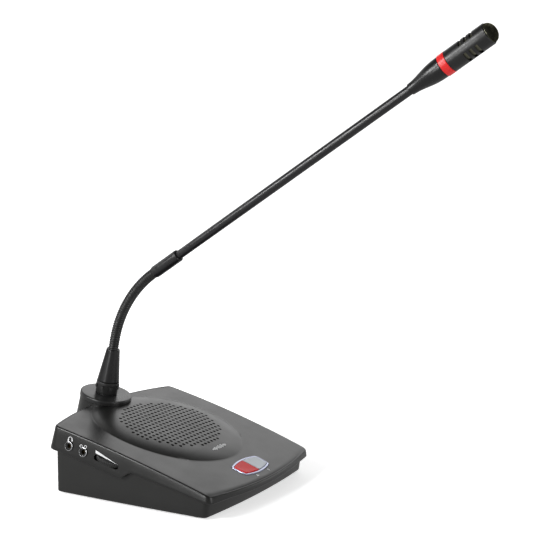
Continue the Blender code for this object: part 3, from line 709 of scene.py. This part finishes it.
def cover_rings(loop_points):
    """Rings from the grille's edge over the top, down the skirt and back along the inside."""
    plan = plan_ring(*COVER_PLAN)
    out = outward(plan)
    middle = Vector((0.0, DOME_Y))
    rim = []
    for point in plan:
        ray = point - middle
        spread = hypot(ray.x / DOME_HALF[0], ray.y / DOME_HALF[1])
        rim.append(middle + ray * min(1 / spread, 1 - 5 / ray.length))
    flares = [SKIRT_FLARE + SKIRT_REAR_FLARE * max(0.0, n.y) for n in out]

    def between(first, second, share):
        return [a.lerp(b, share) for a, b in zip(first, second)]

    def on_top(flat, drop):
        return [Vector((p.x, p.y, cover_height(p.x, p.y) - drop)) for p in flat]

    def down(push, drops):
        ring = []
        for p, n, flare, drop in zip(plan, out, flares, drops):
            flat = p + n * (push + flare * drop)
            ring.append(Vector((flat.x, flat.y, edge_height(p.y) - drop)))
        return ring

    depths = [skirt_depth(p.y) for p in plan]
    flat_loop = [p.xy for p in loop_points]
    shoulder = [p - n * EDGE_ROUND for p, n in zip(plan, out)]
    dome_flats = [between(flat_loop, rim, share) for share in DOME_SHARES] + [rim]
    top_flats = dome_flats + [between(rim, shoulder, share) for share in FLAT_SHARES]
    rings = [on_top(flat, 0) for flat in top_flats]
    for lean in (0, 20, 45, 70, 90):
        angle = radians(lean)
        drop = EDGE_ROUND * (1 - cos(angle))
        rings.append(down(EDGE_ROUND * (sin(angle) - 1), [drop] * len(plan)))
    for share in (0.45, 0.8):
        rings.append(down(0, [EDGE_ROUND + (d - 1.0 - EDGE_ROUND) * share for d in depths]))
    lip = ((0, 0.9), (-0.12, 0.42), (-0.42, 0.12), (-0.9, 0), (0.3 - SKIRT_WALL, 0),
           (-SKIRT_WALL, 0.3))
    for push, lift in lip:
        rings.append(down(push, [d - lift for d in depths]))
    rings.append(down(-SKIRT_WALL, [WALL + 0.8] * len(plan)))
    inner = [p - n * (SKIRT_WALL + 0.5) for p, n in zip(plan, out)]
    rings.append(on_top(inner, WALL))
    rings += [on_top(flat, WALL) for flat in reversed(dome_flats[::2] + [rim])]
    return rings


def build_cover():
    points, faces = [], []
    top_loop, top_holes = grille_patch(points, faces, 0)
    bottom_loop, bottom_holes = grille_patch(points, faces, WALL)
    for first, second in zip(top_holes, bottom_holes):
        bridge(faces, first, second)
    loops = [top_loop]
    for ring in cover_rings([points[k] for k in top_loop]):
        loops.append(list(range(len(points), len(points) + len(ring))))
        points += ring
    loops.append(bottom_loop)
    for first, second in zip(loops, loops[1:]):
        bridge(faces, first, second)
    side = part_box("top_cover")[1].x / MM
    points = [Vector((min(p.x, side), p.y, p.z)) for p in points]
    cover = solid("cover_shell", points, faces, look="cover")
    boss = lathe("tool", [(CAP_RADIUS + 0.5, -BOSS_DEPTH), (CAP_RADIUS - 0.55, -CAP_THICK - 0.5),
                          (CAP_RADIUS - 0.8, -CAP_THICK - GAP)], MIC, steps=96)
    places = [tuple(centre(f"case_screw_{corner}").xy / MM) for corner in CORNERS]
    posts = [rod(COVER_POST_RADIUS, POST_TOP + GAP, cover_height(*place) - 1.2, at(*place, 0), 20)
             for place in places]
    join(cover, boss, *posts)
    bezel = loft("tool", [raised(bezel_ring(GAP), z) for z in (-6, 4)], on_slope(0, KEYS_Y))
    jacks = [rod(JACK_HOLE, -6, 3, wall_pose(centre(node).y / MM), 40)
             for node in ("headphone_jack", "record_jack")]
    slot = loft("tool", [raised(slot_outline(*SLOT_HALF), z) for z in (-8, 4)], wall_pose(WHEEL_Y))
    clearance = rod(CAP_RADIUS + GAP, -CAP_THICK - GAP, 8, MIC, 96)
    screws = [rod(SCREW_PILOT, 0, cover_height(*place) - 4, at(*place, 0), 16) for place in places]
    cut(cover, bezel, *jacks, slot, clearance, *screws)
    cut(cover, rod(CAP_RADIUS - WALL, WALL - BOSS_DEPTH, 5, MIC, 64))
    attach(cover, "base")
    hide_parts("top_cover")


def slot_outline(half_up, half_along):
    """A slot with rounded ends, up along X and long along Y."""
    ring = []
    for sign in (1, -1):
        for k in range(9):
            angle = pi * k / 8
            ring.append(Vector((half_up * cos(angle) * sign,
                                sign * (half_along - half_up + half_up * sin(angle)))))
    return ring


# --- bottom case ---
def build_case():
    low, high = plan_ring(*CASE_LOW), plan_ring(*CASE_HIGH)
    out = outward(low)
    under_boss = CAP_RADIUS + BOSS_SIDE_ROOM
    boss_floor = MIC.translation.z / MM - BOSS_DEPTH - CASE_UNDER_BOSS

    def rim_height(p):
        edge = edge_height(p.y)
        z = min(edge - skirt_depth(p.y) + CASE_UNDER_SKIRT, edge - WALL - 1.5)
        return min(z, boss_floor) if p.y > SIDE_HALF and abs(p.x) < under_boss else z

    def ring(push, height=None, share=None):
        """A ring at a height, or at a share of the way up to the rim."""
        points = []
        for a, b, n in zip(low, high, out):
            rise = rim_height(b) - CASE_FLOOR_Z
            z = height if height is not None else CASE_FLOOR_Z + rise * share
            flat = a.lerp(b, min(1, (z - CASE_FLOOR_Z) / rise)) + n * push
            points.append(Vector((flat.x, flat.y, z)))
        return points

    rings = []
    for lean in (0, 25, 50, 70, 90):
        angle = radians(lean)
        drop, height = CASE_ROUND * (sin(angle) - 1), CASE_ROUND * (1 - cos(angle))
        rings.append(ring(drop, CASE_FLOOR_Z + height))
    rings += [ring(0, share=s) for s in (0.4, 0.7, 1)]
    rings += [ring(-CASE_WALL, share=s) for s in (1, 0.6)]
    rings += [ring(-CASE_WALL, CASE_FLOOR_Z + CASE_FLOOR)]
    case = loft("case_shell", rings, look="case")
    posts = [under(f"case_screw_{corner}") for corner in CORNERS]
    feet = [under(f"foot_{corner}") for corner in CORNERS]
    stands = [at(*place, 0) for place in BOARD_STANDS]
    join(case, *[rod(POST_RADIUS, CASE_FLOOR_Z + 1, POST_TOP, post, 32) for post in posts],
         *[rod(STAND_RADIUS, CASE_FLOOR_Z + 1, BOARD_TOP, stand, 20) for stand in stands])
    cut(case, *[rod(SCREW_WELL[0], 0, SCREW_WELL[1], post, 32) for post in posts],
        *[rod(FOOT_WELL, 0, CASE_FLOOR_Z + 1.5, foot, 40) for foot in feet],
        rod(LINK_HOLE, -14, 6, link_pose(), 48))
    cut(case, *[rod(SCREW_HOLE, 0, POST_TOP + 2, post, 20) for post in posts])
    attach(case, "base")
    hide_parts("bottom_case")


def link_pose():
    """The link socket's pose, with +Z out of the rear wall."""
    middle, high = centre("link_socket"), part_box("link_socket")[1]
    return pose_of(Vector((middle.x, high.y - LINK_PROUD * MM, middle.z)), (0, 1, 0))


def build_feet_and_screws():
    foot = rounded([(0, 2.7), (5.9, 2.7, 0.3), (6, 0.1, 0.6), (4.4, 0.1, 0.2), (4.1, 0.6, 0.2),
                    (0, 0.6)])
    foot = [(r, max(z, 0.0)) for r, z in foot]
    for corner in CORNERS:
        name = f"foot_{corner}"
        obj = lathe(name + "_pad", foot, under(name), "rubber", 48)
        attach(obj, "base")
        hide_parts(name)
    screw = rounded([(0, 20), (0.6, 20), (1.25, 18.6), (1.25, 8.2), (2.9, 8.2, 0.2),
                     (2.9, 7.2, 0.2), (2.0, 6.25, 0.4), (0, 6.2)])
    for corner in CORNERS:
        name = f"case_screw_{corner}"
        obj = lathe(name + "_cross_head", screw, under(name), "steel", 32)
        for x, y in ((1.5, 0.3), (0.3, 1.5)):
            cut(obj, block((-x, -y, 6), (x, y, 7.4), under(name)))
        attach(obj, "base")
        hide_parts(name)


# --- keys, jacks and wheel ---
def build_keys():
    pose = on_slope(0, KEYS_Y)
    rim = [(0, -3.2), (0, 0.3), (0.1, 0.52), (0.35, 0.6), (BEZEL_RIM - 0.4, 0.6),
           (BEZEL_RIM - 0.12, 0.5), (BEZEL_RIM, 0.2), (BEZEL_RIM, -3.2)]
    outer = bezel_ring(0)
    rings = [raised(inset(outer, d), z) for d, z in rim]
    bezel = loft("key_bezel_frame", rings, pose, "bezel", True)
    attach(bezel, "base")
    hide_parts("key_bezel")
    whole = inset(outer, BEZEL_RIM + KEY_GAP)
    for name, side, look in (("priority_key", -1, "key_red"), ("speak_key", 1, "key_silver")):
        start = min(range(len(whole)), key=lambda k: (whole[k].y * side > 0, abs(whole[k].x)))
        kept = [p for p in whole[start:] + whole[:start] if p.x * side > 0.8]
        half = kept + [Vector((0.25 * side, kept[-1].y)), Vector((0.25 * side, kept[0].y))]
        steps = [(0, -4.4), (0, 0.55), (0.1, 0.85), (0.35, 1.05), (0.8, 1.1), (2.5, 1.0)]
        middle = sum(half, Vector((0, 0))) / len(half)
        rings = [raised(inset(half, d), z) for d, z in steps]
        rings += [[Vector((*(middle + (Vector(p.xy) - middle) * 0.5), 0.88)) for p in rings[-1]]]
        rings += [[Vector((*middle, 0.84))]]
        key = loft(name + "_cap", rings, pose, look, angle=40)
        join(key, rod(2.0, -5.7, -4.0, pose @ at(9 * side, 0, 0), 24))
        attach(key, name)
        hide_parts(name)


def build_jack(name):
    pose = wall_pose(centre(name).y / MM)
    body = block((-4, -4.2, -14), (4, 4.2, -2.9), pose, name + "_barrel", "black", 0.3)
    collar = rounded([(0, -4), (3.0, -4), (3.0, 0.6, 0.25), (0, 0.6)])
    join(body, lathe("tool", collar, pose, steps=48))
    bore = [(0, -12), (1.8, -12), (1.8, 0.2), (2.2, 0.7), (2.2, 3), (0, 3)]
    cut(body, lathe("tool", bore, pose, steps=40))
    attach(body, "base")
    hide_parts(name)
    contact = [(1.0, -3.2), (1.75, -3.2), (1.75, -11), (1.0, -11)]
    spring = lathe(name + "_contact", contact, pose, "brass", 24, True)
    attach(spring, "base")
    ring = rounded([(3.32, GAP), (3.95, GAP, 0.15), (3.95, 1.1, 0.3), (3.35, 1.2, 0.1)])
    nut = lathe(name + "_ring_nut", ring, pose, "chrome", 64, True)
    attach(nut, "base")
    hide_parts(name + "_nut")


def build_wheel():
    pose = pose_of(centre("volume_wheel"), JOINTS["volume_turn"]["axis"])
    radius = half_across("volume_wheel") - 0.02
    teeth, dips = 60, (0.0, 0.12, 0.5, 0.12)
    half = 1.8

    def rim(inset_by, z):
        ring = []
        for k in range(teeth * len(dips)):
            r = radius - dips[k % len(dips)] - inset_by
            ring.append(Vector((*polar(r, 2 * pi * k / (teeth * len(dips))), z)))
        return ring

    rings = [rim(1.0, -half), rim(0.25, 0.2 - half), rim(0, 0.6 - half), rim(0, half - 0.6),
             rim(0.25, half - 0.2), rim(1.0, half)]
    wheel = loft("volume_knurled_wheel", rings, pose, "wheel", angle=40)
    cut(wheel, rod(2.8, -5, 5, pose, 32))
    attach(wheel, "volume_wheel")
    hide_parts("volume_wheel")


def build_link_socket():
    pose = link_pose()
    shell = rounded([(0, -9), (6.5, -9), (6.5, 1.3), (6.9, 1.8), (9.2, 1.8, 0.3),
                     (9.6, 0.9, 0.2), (9.5, 0.7), (7.8, 0.7), (7.8, -12), (0, -12)])
    socket = lathe("link_socket_shell", shell, pose, "black", 64)
    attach(socket, "base")
    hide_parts("link_socket")
    disc = rounded([(0, -6.2), (4.4, -6.2, 0.3), (4.4, -8.7), (0, -8.7)])
    insert = lathe("tool", disc, pose, "brass", 40)
    pin = [(0, -4.2), (0.25, -4.3), (0.45, -4.7), (0.45, -6.5), (0, -6.5)]
    around = LINK_PINS - 1
    spots = [turn(360 * k / around) @ at(0 if k == around else 2.9, 0, 0) for k in range(LINK_PINS)]
    pins = [lathe("tool", pin, pose @ spot, steps=16) for spot in spots]
    insert.name = "link_socket_pins"
    join(insert, *pins)
    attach(insert, "base")
    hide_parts("link_socket_insert")


# --- microphone ---
def build_socket_and_plug():
    cap = rounded([(8.3, 0, 0.2), (CAP_RADIUS, 0, 1.6), (CAP_RADIUS, -CAP_THICK, 0.25),
                   (8.3, -CAP_THICK)], 6)
    plate = lathe("socket_cap_plate", cap, MIC, "cap", 128, True)
    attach(plate, "base")
    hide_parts("socket_cap")

    ring = rounded([(6.8, RING_HEIGHT), (9.6, RING_HEIGHT, 0.3), (10, RING_HEIGHT - 0.5, 0.2),
                    (10, 8.8, 0.1), (9.6, 8.4, 0.1), (9.6, 0.9), (9.3, 0.4, 0.2), (8.3, 0.4),
                    (8.3, 8), (6.8, 8)])
    shell = lathe("locking_ring_shell", ring, MIC, "ring", 96, True)
    lug = [(9.2, -1.2), (10.6, -1.1), (10.85, -0.8), (10.85, 0.8), (10.6, 1.1), (9.2, 1.2)]
    lug = [Vector(corner) for corner in lug]
    levels = ((0.25, 5.5), (0, 5.8), (0, 8.1), (0.25, 8.4))
    rings = [raised(inset(lug, d), z) for d, z in levels]
    join(shell, *[loft("tool", rings, MIC @ turn(360 * k / LUGS + 10)) for k in range(LUGS)])
    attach(shell, "locking_ring")
    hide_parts("locking_ring")

    foot, top = COLLAR_RADII
    low = RING_HEIGHT + 0.4
    profile = [(0, 37.5), (4.7, 37.5), (4.7, 41.4, 0.2), (5.9, 41.4, 0.7), (top, 38.5, 0.4),
               (foot, low + 0.8, 0.3), (foot, low, 0.2), (0, low)]
    cone = lathe("neck_collar_cone", rounded(profile), MIC, "collar", 96)
    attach(cone, "microphone_plug")
    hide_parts("neck_collar")


NECK_JOINTS = ["neck_nod_1", "neck_sway_1", "neck_nod_2", "neck_sway_2", "neck_nod_3",
               "neck_sway_3", "neck_nod_4"]
NECK_RADIUS = 4.55
WIRE_PITCH = 2.15
WIRE_DEPTH = 0.62
RINGS_PER_TURN = 8
NECK_STEPS = 36
NECK_OVERLAP = 3.4
NECK_FINE = 24    # points of the centre line between two joints


def neck_path():
    """The centre line's points, their distances along it, and the joints' distances."""
    joints = [joint_point(name) for name in NECK_JOINTS]
    first = MIC.to_3x3() @ Vector((0, 0, 1))
    tangents = [first]
    for before, here, after in zip(joints, joints[1:], joints[2:]):
        tangents.append(((here - before).normalized() * (after - here).length
                         + (after - here).normalized() * (here - before).length).normalized())
    tangents.append(STEM_UP)
    fine = [joints[0] - first * NECK_OVERLAP * MM, joints[0]]
    marks = [1]
    for a, b, leave, arrive in zip(joints, joints[1:], tangents, tangents[1:]):
        span = (b - a).length
        for k in range(1, NECK_FINE + 1):
            t = k / NECK_FINE
            h00, h10 = 2 * t ** 3 - 3 * t ** 2 + 1, t ** 3 - 2 * t ** 2 + t
            h01, h11 = -2 * t ** 3 + 3 * t ** 2, t ** 3 - t ** 2
            fine.append(a * h00 + leave * (h10 * span) + b * h01 + arrive * (h11 * span))
        marks.append(len(fine) - 1)
    fine.append(joints[-1] + STEM_UP * NECK_OVERLAP * MM)
    distances = [0.0]
    for a, b in zip(fine, fine[1:]):
        distances.append(distances[-1] + (b - a).length)
    return fine, distances, [distances[k] for k in marks]


def along_path(fine, distances, s):
    """Place and direction at distance s."""
    k = next((i for i in range(1, len(distances)) if distances[i] >= s), len(distances) - 1)
    a, b = fine[k - 1], fine[k]
    share = (s - distances[k - 1]) / max(distances[k] - distances[k - 1], 1e-9)
    ahead = fine[min(k + 1, len(fine) - 1)] - fine[max(k - 2, 0)]
    return a.lerp(b, share), ahead.normalized()


def build_neck():
    """The wound neck: one helical skin in seven runs, each laid along the centre line round one
    joint.
    """
    fine, distances, marks = neck_path()
    cuts = [0.0] + [(a + b) / 2 for a, b in zip(marks, marks[1:])] + [distances[-1]]
    pitch = WIRE_PITCH * MM
    side = Vector((1, 0, 0))
    for i in range(len(NECK_JOINTS)):
        start, stop = cuts[i], cuts[i + 1]
        count = max(8, round((stop - start) / pitch * RINGS_PER_TURN))
        rings = []
        for j in range(count + 1):
            s = start + (stop - start) * j / count
            place, direction = along_path(fine, distances, s)
            over = direction.cross(side)
            ring = []
            for k in range(NECK_STEPS):
                angle = 2 * pi * k / NECK_STEPS
                wind = (s / pitch - k / NECK_STEPS) % 1.0
                dip = (0.5 + 0.5 * cos(2 * pi * wind)) ** 1.6
                radius = (NECK_RADIUS - WIRE_DEPTH * dip) * MM
                out = side * cos(angle) + over * sin(angle)
                ring.append((place + out * radius) / MM)
            rings.append(ring)
        skin = loft(f"neck_skin_{i + 1}", rings, look="neck", angle=60)
        middle, direction = along_path(fine, distances, marks[i])
        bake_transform(skin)
        if i:
            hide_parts(f"neck_link_{i}")


def build_stem():
    high = stem_span("neck_sleeve")[1]
    wide, bore = SLEEVE_RADIUS, STEM_RADIUS + GAP
    sleeve = [(0, 4.5), (4.6, 4.5), (4.6, 0.9, 0.15), (wide - 0.35, 0.85, 0.2), (wide, 2.2, 0.5),
              (wide, high - 0.6, 0.3), (wide - 0.5, high, 0.15), (bore, high, 0.1),
              (bore, high - 12), (0, high - 12)]
    tube = lathe("neck_sleeve_tube", rounded(sleeve), STEM, "stem", 72)
    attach(tube, "stem")
    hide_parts("neck_sleeve")
    start, stop = stem_span("stem_tube")
    pipe = [(STEM_BORE, start), (STEM_RADIUS, start, 0.2)]
    pipe += [(STEM_RADIUS, start + (stop - start) * k / 6) for k in range(1, 6)]
    pipe += [(STEM_RADIUS, stop, 0.2), (STEM_BORE, stop)]
    stem = lathe("stem_pipe", rounded(pipe), STEM, "stem", 64, True)
    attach(stem, "stem")
    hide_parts("stem_tube")

    low, high = stem_span("head_cone")
    narrow = STEM_RADIUS + 0.9
    flare = []
    for k in range(1, CONE_STEPS):
        fall = (0.5 - 0.5 * cos(pi * k / CONE_STEPS)) ** CONE_BELLY
        radius = CONE_RADIUS - (CONE_RADIUS - narrow) * fall
        flare.append(Vector((radius, high - (high - low) * k / CONE_STEPS)))
    profile = rounded([(0, high), (CONE_RADIUS, high, 0.3), (flare[0].x, flare[0].y)])[:-1] + flare
    profile += rounded([(narrow, low + 1.0), (narrow - 0.1, low, 0.3), (bore, low, 0.1),
                        (bore, low + 8.6), (0, low + 8.6)])
    cone = lathe("head_taper", profile, STEM, "collar", 80)
    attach(cone, "stem")
    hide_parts("head_cone")

    low, high = stem_span("light_ring")
    wide = LIGHT_RING_RADIUS
    profile = rounded([(6.9, high), (wide, high, 0.35), (wide, low, 0.35), (6.9, low)])
    band = lathe("light_ring_band", profile, STEM, "light", 96, True)
    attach(band, "stem")
    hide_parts("light_ring")

    low, high = stem_span("capsule_housing")
    wide = HOUSING_RADIUS
    profile = rounded([(HOUSING_BORE, high), (wide, high, 0.45), (wide, low, 0.2),
                       (HOUSING_BORE, low)])
    housing = lathe("capsule_barrel", profile, STEM, "housing", 96, True)
    first, apart, rows = HOUSING_SLOTS
    across, up = HOUSING_SLOT_HALF
    slots = []
    for heading in (0, 120, 240):
        for row in range(rows):
            z = low + first + apart * row
            slots.append(block((5, -across, z - up), (11, across, z + up), STEM @ turn(heading)))
    cut(housing, *slots)
    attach(housing, "stem")
    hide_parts("capsule_housing")
    profile = [(6.95, low + 10), (7.1, low + 10), (7.1, high - 1), (6.95, high - 1)]
    screen = lathe("slot_screen", profile, STEM, "basket", 72, True)
    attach(screen, "stem")


def build_basket():
    """The mesh dome over the capsule: a rounded cap whose cells are sunk between their wires and
    coloured dark as painted shade, where a real mesh shows its shaded inside through the openings.
    """
    low, high = stem_span("mesh_cap")
    made = bmesh.new()
    bmesh.ops.create_icosphere(made, subdivisions=5, radius=1.0)
    below = [v for v in made.verts if v.co.z < -0.08]
    bmesh.ops.delete(made, geom=below, context="VERTS")
    wide, tall = MESH_CAP_RADIUS - 0.04, high - low - 0.05
    for vertex in made.verts:
        height = max(vertex.co.z, 0.0)
        flat = vertex.co.xy if height else vertex.co.xy.normalized()
        vertex.co = Vector((*(flat * wide), height * tall + 0.02)) * MM
    inwards = [face for face in made.faces if face.normal.dot(face.calc_center_median()) < 0]
    bmesh.ops.reverse_faces(made, faces=inwards)
    bmesh.ops.inset_individual(made, faces=made.faces[:], thickness=MESH_WIRE * MM,
                               depth=-MESH_DEEP * MM)
    for face in made.faces:
        # The sunk cell middles (the triangles) take the painted shade; the wire faces round them
        # keep the wire look.
        face.material_index = 1 if len(face.verts) == 3 else 0
    bmesh.ops.holes_fill(made, edges=[edge for edge in made.edges if edge.is_boundary])
    mesh = bpy.data.meshes.new("mesh_basket")
    made.to_mesh(mesh)
    made.free()
    mesh.transform(STEM @ at(0, 0, low))
    for look in ("basket", "basket_painted_shade"):
        mesh.materials.append(LOOKS[look].material)
    obj = placed("mesh_basket", mesh)
    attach(obj, "stem")
    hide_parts("mesh_cap")


# --- printed marks ---
def wall_point(y, z, lift):
    """A point on the left skirt's face at a height, lifted off it."""
    return Vector((-half_width(y) - SKIRT_FLARE * (edge_height(y) - z) - lift, y, z))


def top_point(x, y, lift):
    return Vector((x, y, cover_height(x, y) + lift))


def printed(name, shapes, place, look="print"):
    """Raised ink: each flat outline becomes a thin plate on the surface that place() gives."""
    plates = []
    for shape in shapes:
        rings = [[place(a, b, lift) for a, b in shape] for lift in (-0.15, 0.09)]
        plates.append(loft(name, rings, look=look))
    obj = merge(plates, name) if len(plates) > 1 else plates[0]
    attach(obj, "base")


def ring_shapes(a, b, radius, width, start=0, stop=360, steps=20):
    """A drawn arc as quads, so that a full circle stays open inside."""
    shapes = []
    for k in range(steps):
        angles = [radians(start + (stop - start) * (k + e) / steps) for e in (0, 1)]
        inner, outer = [[(a + x, b + y) for x, y in (polar(r, t) for t in angles)]
                        for r in (radius - width / 2, radius + width / 2)]
        shapes.append([inner[0], outer[0], outer[1], inner[1]])
    return shapes


def bar(left, low, right, high):
    return [(left, low), (right, low), (right, high), (left, high)]


def build_marks():
    printed("volume_wedge_mark", [[(31.9, 43.6), (31.6, 41.1), (10, 34.8)]], wall_point)
    y, z = 57.7, 48.9
    headphones = ring_shapes(y, z, 1.9, 0.55, 0, 180, 12)
    headphones += [bar(y + s * 1.9 - 0.55, z - 1.5, y + s * 1.9 + 0.55, z + 0.2) for s in (-1, 1)]
    printed("headphone_mark", headphones, wall_point)
    y, z = 44.2, 44.8
    reels = ring_shapes(y - 2.1, z, 1.15, 0.4) + ring_shapes(y + 2.1, z, 1.15, 0.4)
    reels.append(bar(y - 2.1, z - 1.35, y + 2.1, z - 0.95))
    printed("record_mark", reels, wall_point)
    heights = (1.2, 2.2, 3.4, 2.0, 3.0, 4.0, 2.6, 3.6, 1.8, 2.8, 1.4)
    bars, y = [], -33.6
    for k, tall in enumerate(heights):
        x = (k - (len(heights) - 1) / 2) * 1.9
        bars.append(bar(x - 0.45, y - tall / 2, x + 0.45, y + tall / 2))
    printed("wave_mark", bars, top_point)
    triangle = [[(-10.6, -77.8), (-7.6, -77.8), (-9.1, -75.6)]]
    printed("priority_mark", triangle, top_point)
    bubble = ring_shapes(9.1, -76.4, 0.85, 0.35) + [bar(8.95, -78.2, 9.25, -77.2)]
    printed("speak_mark", bubble, top_point)


# --- stage ---
CAMERA_PLACE = (-0.8752, -0.5841, 0.3338)
CAMERA_YAW = 1.04679
CAMERA_PITCH = 0.144995
CAMERA_ROLL = 0.0088
CAMERA_LENS = 82.3

# Each light's place, the point it faces, its size and its power.
LIGHTS = {
    "back_softbox": ((1.5, 0.5, 0.75), (0, 0, 0.05), (1.5, 0.9), 3.8),
    "right_softbox": ((1.1, 0.35, 0.98), (0, 0, 0.05), (0.8, 0.4), 0.6),
    "rear_softbox": ((-0.1, 1.5, 0.7), (0, 0, 0.05), (1.0, 0.6), 2.0),
    "low_softbox": ((1.1, -0.85, 0.16), (0, 0, 0.03), (0.6, 0.5), 2.2),
    "rear_strip": ((-1.04, 0.7, 0.54), (0, -0.1, 0.3), (0.45, 0.3), 8.0),
    "left_strip": ((-1.32, 0.18, 0.32), (0, 0, 0.1), (0.2, 0.55), 4.4),
    "edge_lamp": ((-1.0, 0.42, 0.88), (0, 0, 0.05), (0.2, 0.2), 5.0),
    "front_softbox": ((-0.1, -1.4, 0.35), (0, 0, 0.1), (0.5, 0.9), 6.0),
}


def sweep(name, look, around=False, sink=0.0):
    """A floor, sink metres low, that curves up behind the object or all around it."""
    rise, bend_start = 1.5, 3.0
    profile = [(0.01 if around else -4.0, -sink), (bend_start, -sink)]
    for k in range(1, 17):
        angle = pi / 2 * k / 16
        profile.append((bend_start + rise * sin(angle), rise - rise * cos(angle) - sink))
    profile.append((bend_start + rise, 3.0 if around else 5.0))
    view = Matrix.Rotation(-CAMERA_YAW, 4, "Z")
    if around:
        turns = [Matrix.Rotation(radians(5 * k), 4, "Z") for k in range(73)]
        points = [turned @ Vector((0.0, y, z)) for turned in turns for y, z in profile]
    else:
        points = [view @ Vector((x, y, z)) for x in (-6.0, 6.0) for y, z in profile]
    count = len(profile)
    faces = [[row + k, row + k + 1, row + count + k + 1, row + count + k]
             for row in range(0, len(points) - count, count) for k in range(count - 1)]
    mesh = bpy.data.meshes.new(name)
    mesh.from_pydata(points, [], faces)
    mesh.shade_smooth()
    mesh.materials.append(look.material)
    made = placed(name, mesh)
    return made


def build_stage():
    """White studio paper that glows less near the object, a painted shadow round it, and below it a
    dim panel that only lights the object.
    """
    white = (1, 1, 1, 1)
    paper = Look("studio_paper_painted_shadow", (0.93, 0.93, 0.93), 0.9, Emission_Color=white)
    paper.worn(paper.noise(40, 3), 0.8, 0.95)
    # Painted shadow: the paper glows at 0.6 within 0.1 m of the middle and at 1.0 from 0.36 m out,
    # darkening the floor round the object on top of the lamps' real shadows.
    away = paper.node("ShaderNodeVectorMath", operation="LENGTH")
    paper.join(paper.coordinates, away.inputs[0])
    painted_shadow_glow = paper.spread(away.outputs["Value"], 0.6, 1.0, 0.1, 0.36)
    paper.join(painted_shadow_glow, paper.shader.inputs["Emission Strength"])
    floor = sweep("studio_floor", paper, around=True)
    floor.visible_diffuse = False
    floor.visible_glossy = False
    panel = Look("studio_panel", (0.5, 0.5, 0.5), 0.9, Emission_Color=white,
                 Emission_Strength=0.42)
    bounce = sweep("studio_bounce", panel, sink=0.002)
    bounce.visible_camera = False
    bounce.visible_shadow = False


def area_light(name, place, target, size, power):
    data = bpy.data.lights.new(name, "AREA")
    data.shape = "RECTANGLE"
    data.size, data.size_y = size
    data.energy = power
    lamp = placed(name, data)
    lamp.location = place
    lamp.rotation_euler = (Vector(target) - Vector(place)).to_track_quat("-Z", "Y").to_euler()
    lamp.visible_camera = False


def build_light():
    world = bpy.data.worlds.new("studio")
    bpy.context.scene.world = world
    world.use_nodes = True
    sky = world.node_tree.nodes["Background"]
    sky.inputs["Color"].default_value = (1, 1, 1, 1)
    sky.inputs["Strength"].default_value = 0.13
    for name, light in LIGHTS.items():
        area_light(name, *light)
    bpy.context.scene.view_settings.view_transform = "Standard"


def build_camera():
    """The camera, by its heading from +Y, its fall and its roll."""
    level = cos(CAMERA_PITCH)
    forward = Vector((sin(CAMERA_YAW) * level, cos(CAMERA_YAW) * level,
                      -sin(CAMERA_PITCH)))
    right = Vector((cos(CAMERA_YAW), -sin(CAMERA_YAW), 0))
    up = right.cross(forward)
    c, s = cos(CAMERA_ROLL), sin(CAMERA_ROLL)
    right, up = right * c + up * s, up * c - right * s
    data = bpy.data.cameras.new("photo_view")
    data.lens = CAMERA_LENS
    data.sensor_width = 36
    data.sensor_fit = "AUTO"
    data.clip_start = 0.01
    camera = placed("photo_view", data)
    matrix = Matrix((right, up, -forward)).transposed().to_4x4()
    matrix.translation = CAMERA_PLACE
    camera.matrix_world = matrix
    bpy.context.scene.camera = camera


def dress_carried_nodes():
    for look, names in CARRIED_NODES.items():
        for name in names.split():
            mesh = frame["nodes"][name].data
            mesh.materials.clear()
            mesh.materials.append(LOOKS[look].material)


build_cover()
build_case()
build_feet_and_screws()
build_keys()
build_jack("headphone_jack")
build_jack("record_jack")
build_wheel()
build_link_socket()
build_socket_and_plug()
build_neck()
build_stem()
build_basket()
build_marks()
dress_carried_nodes()
build_stage()
build_light()
build_camera()
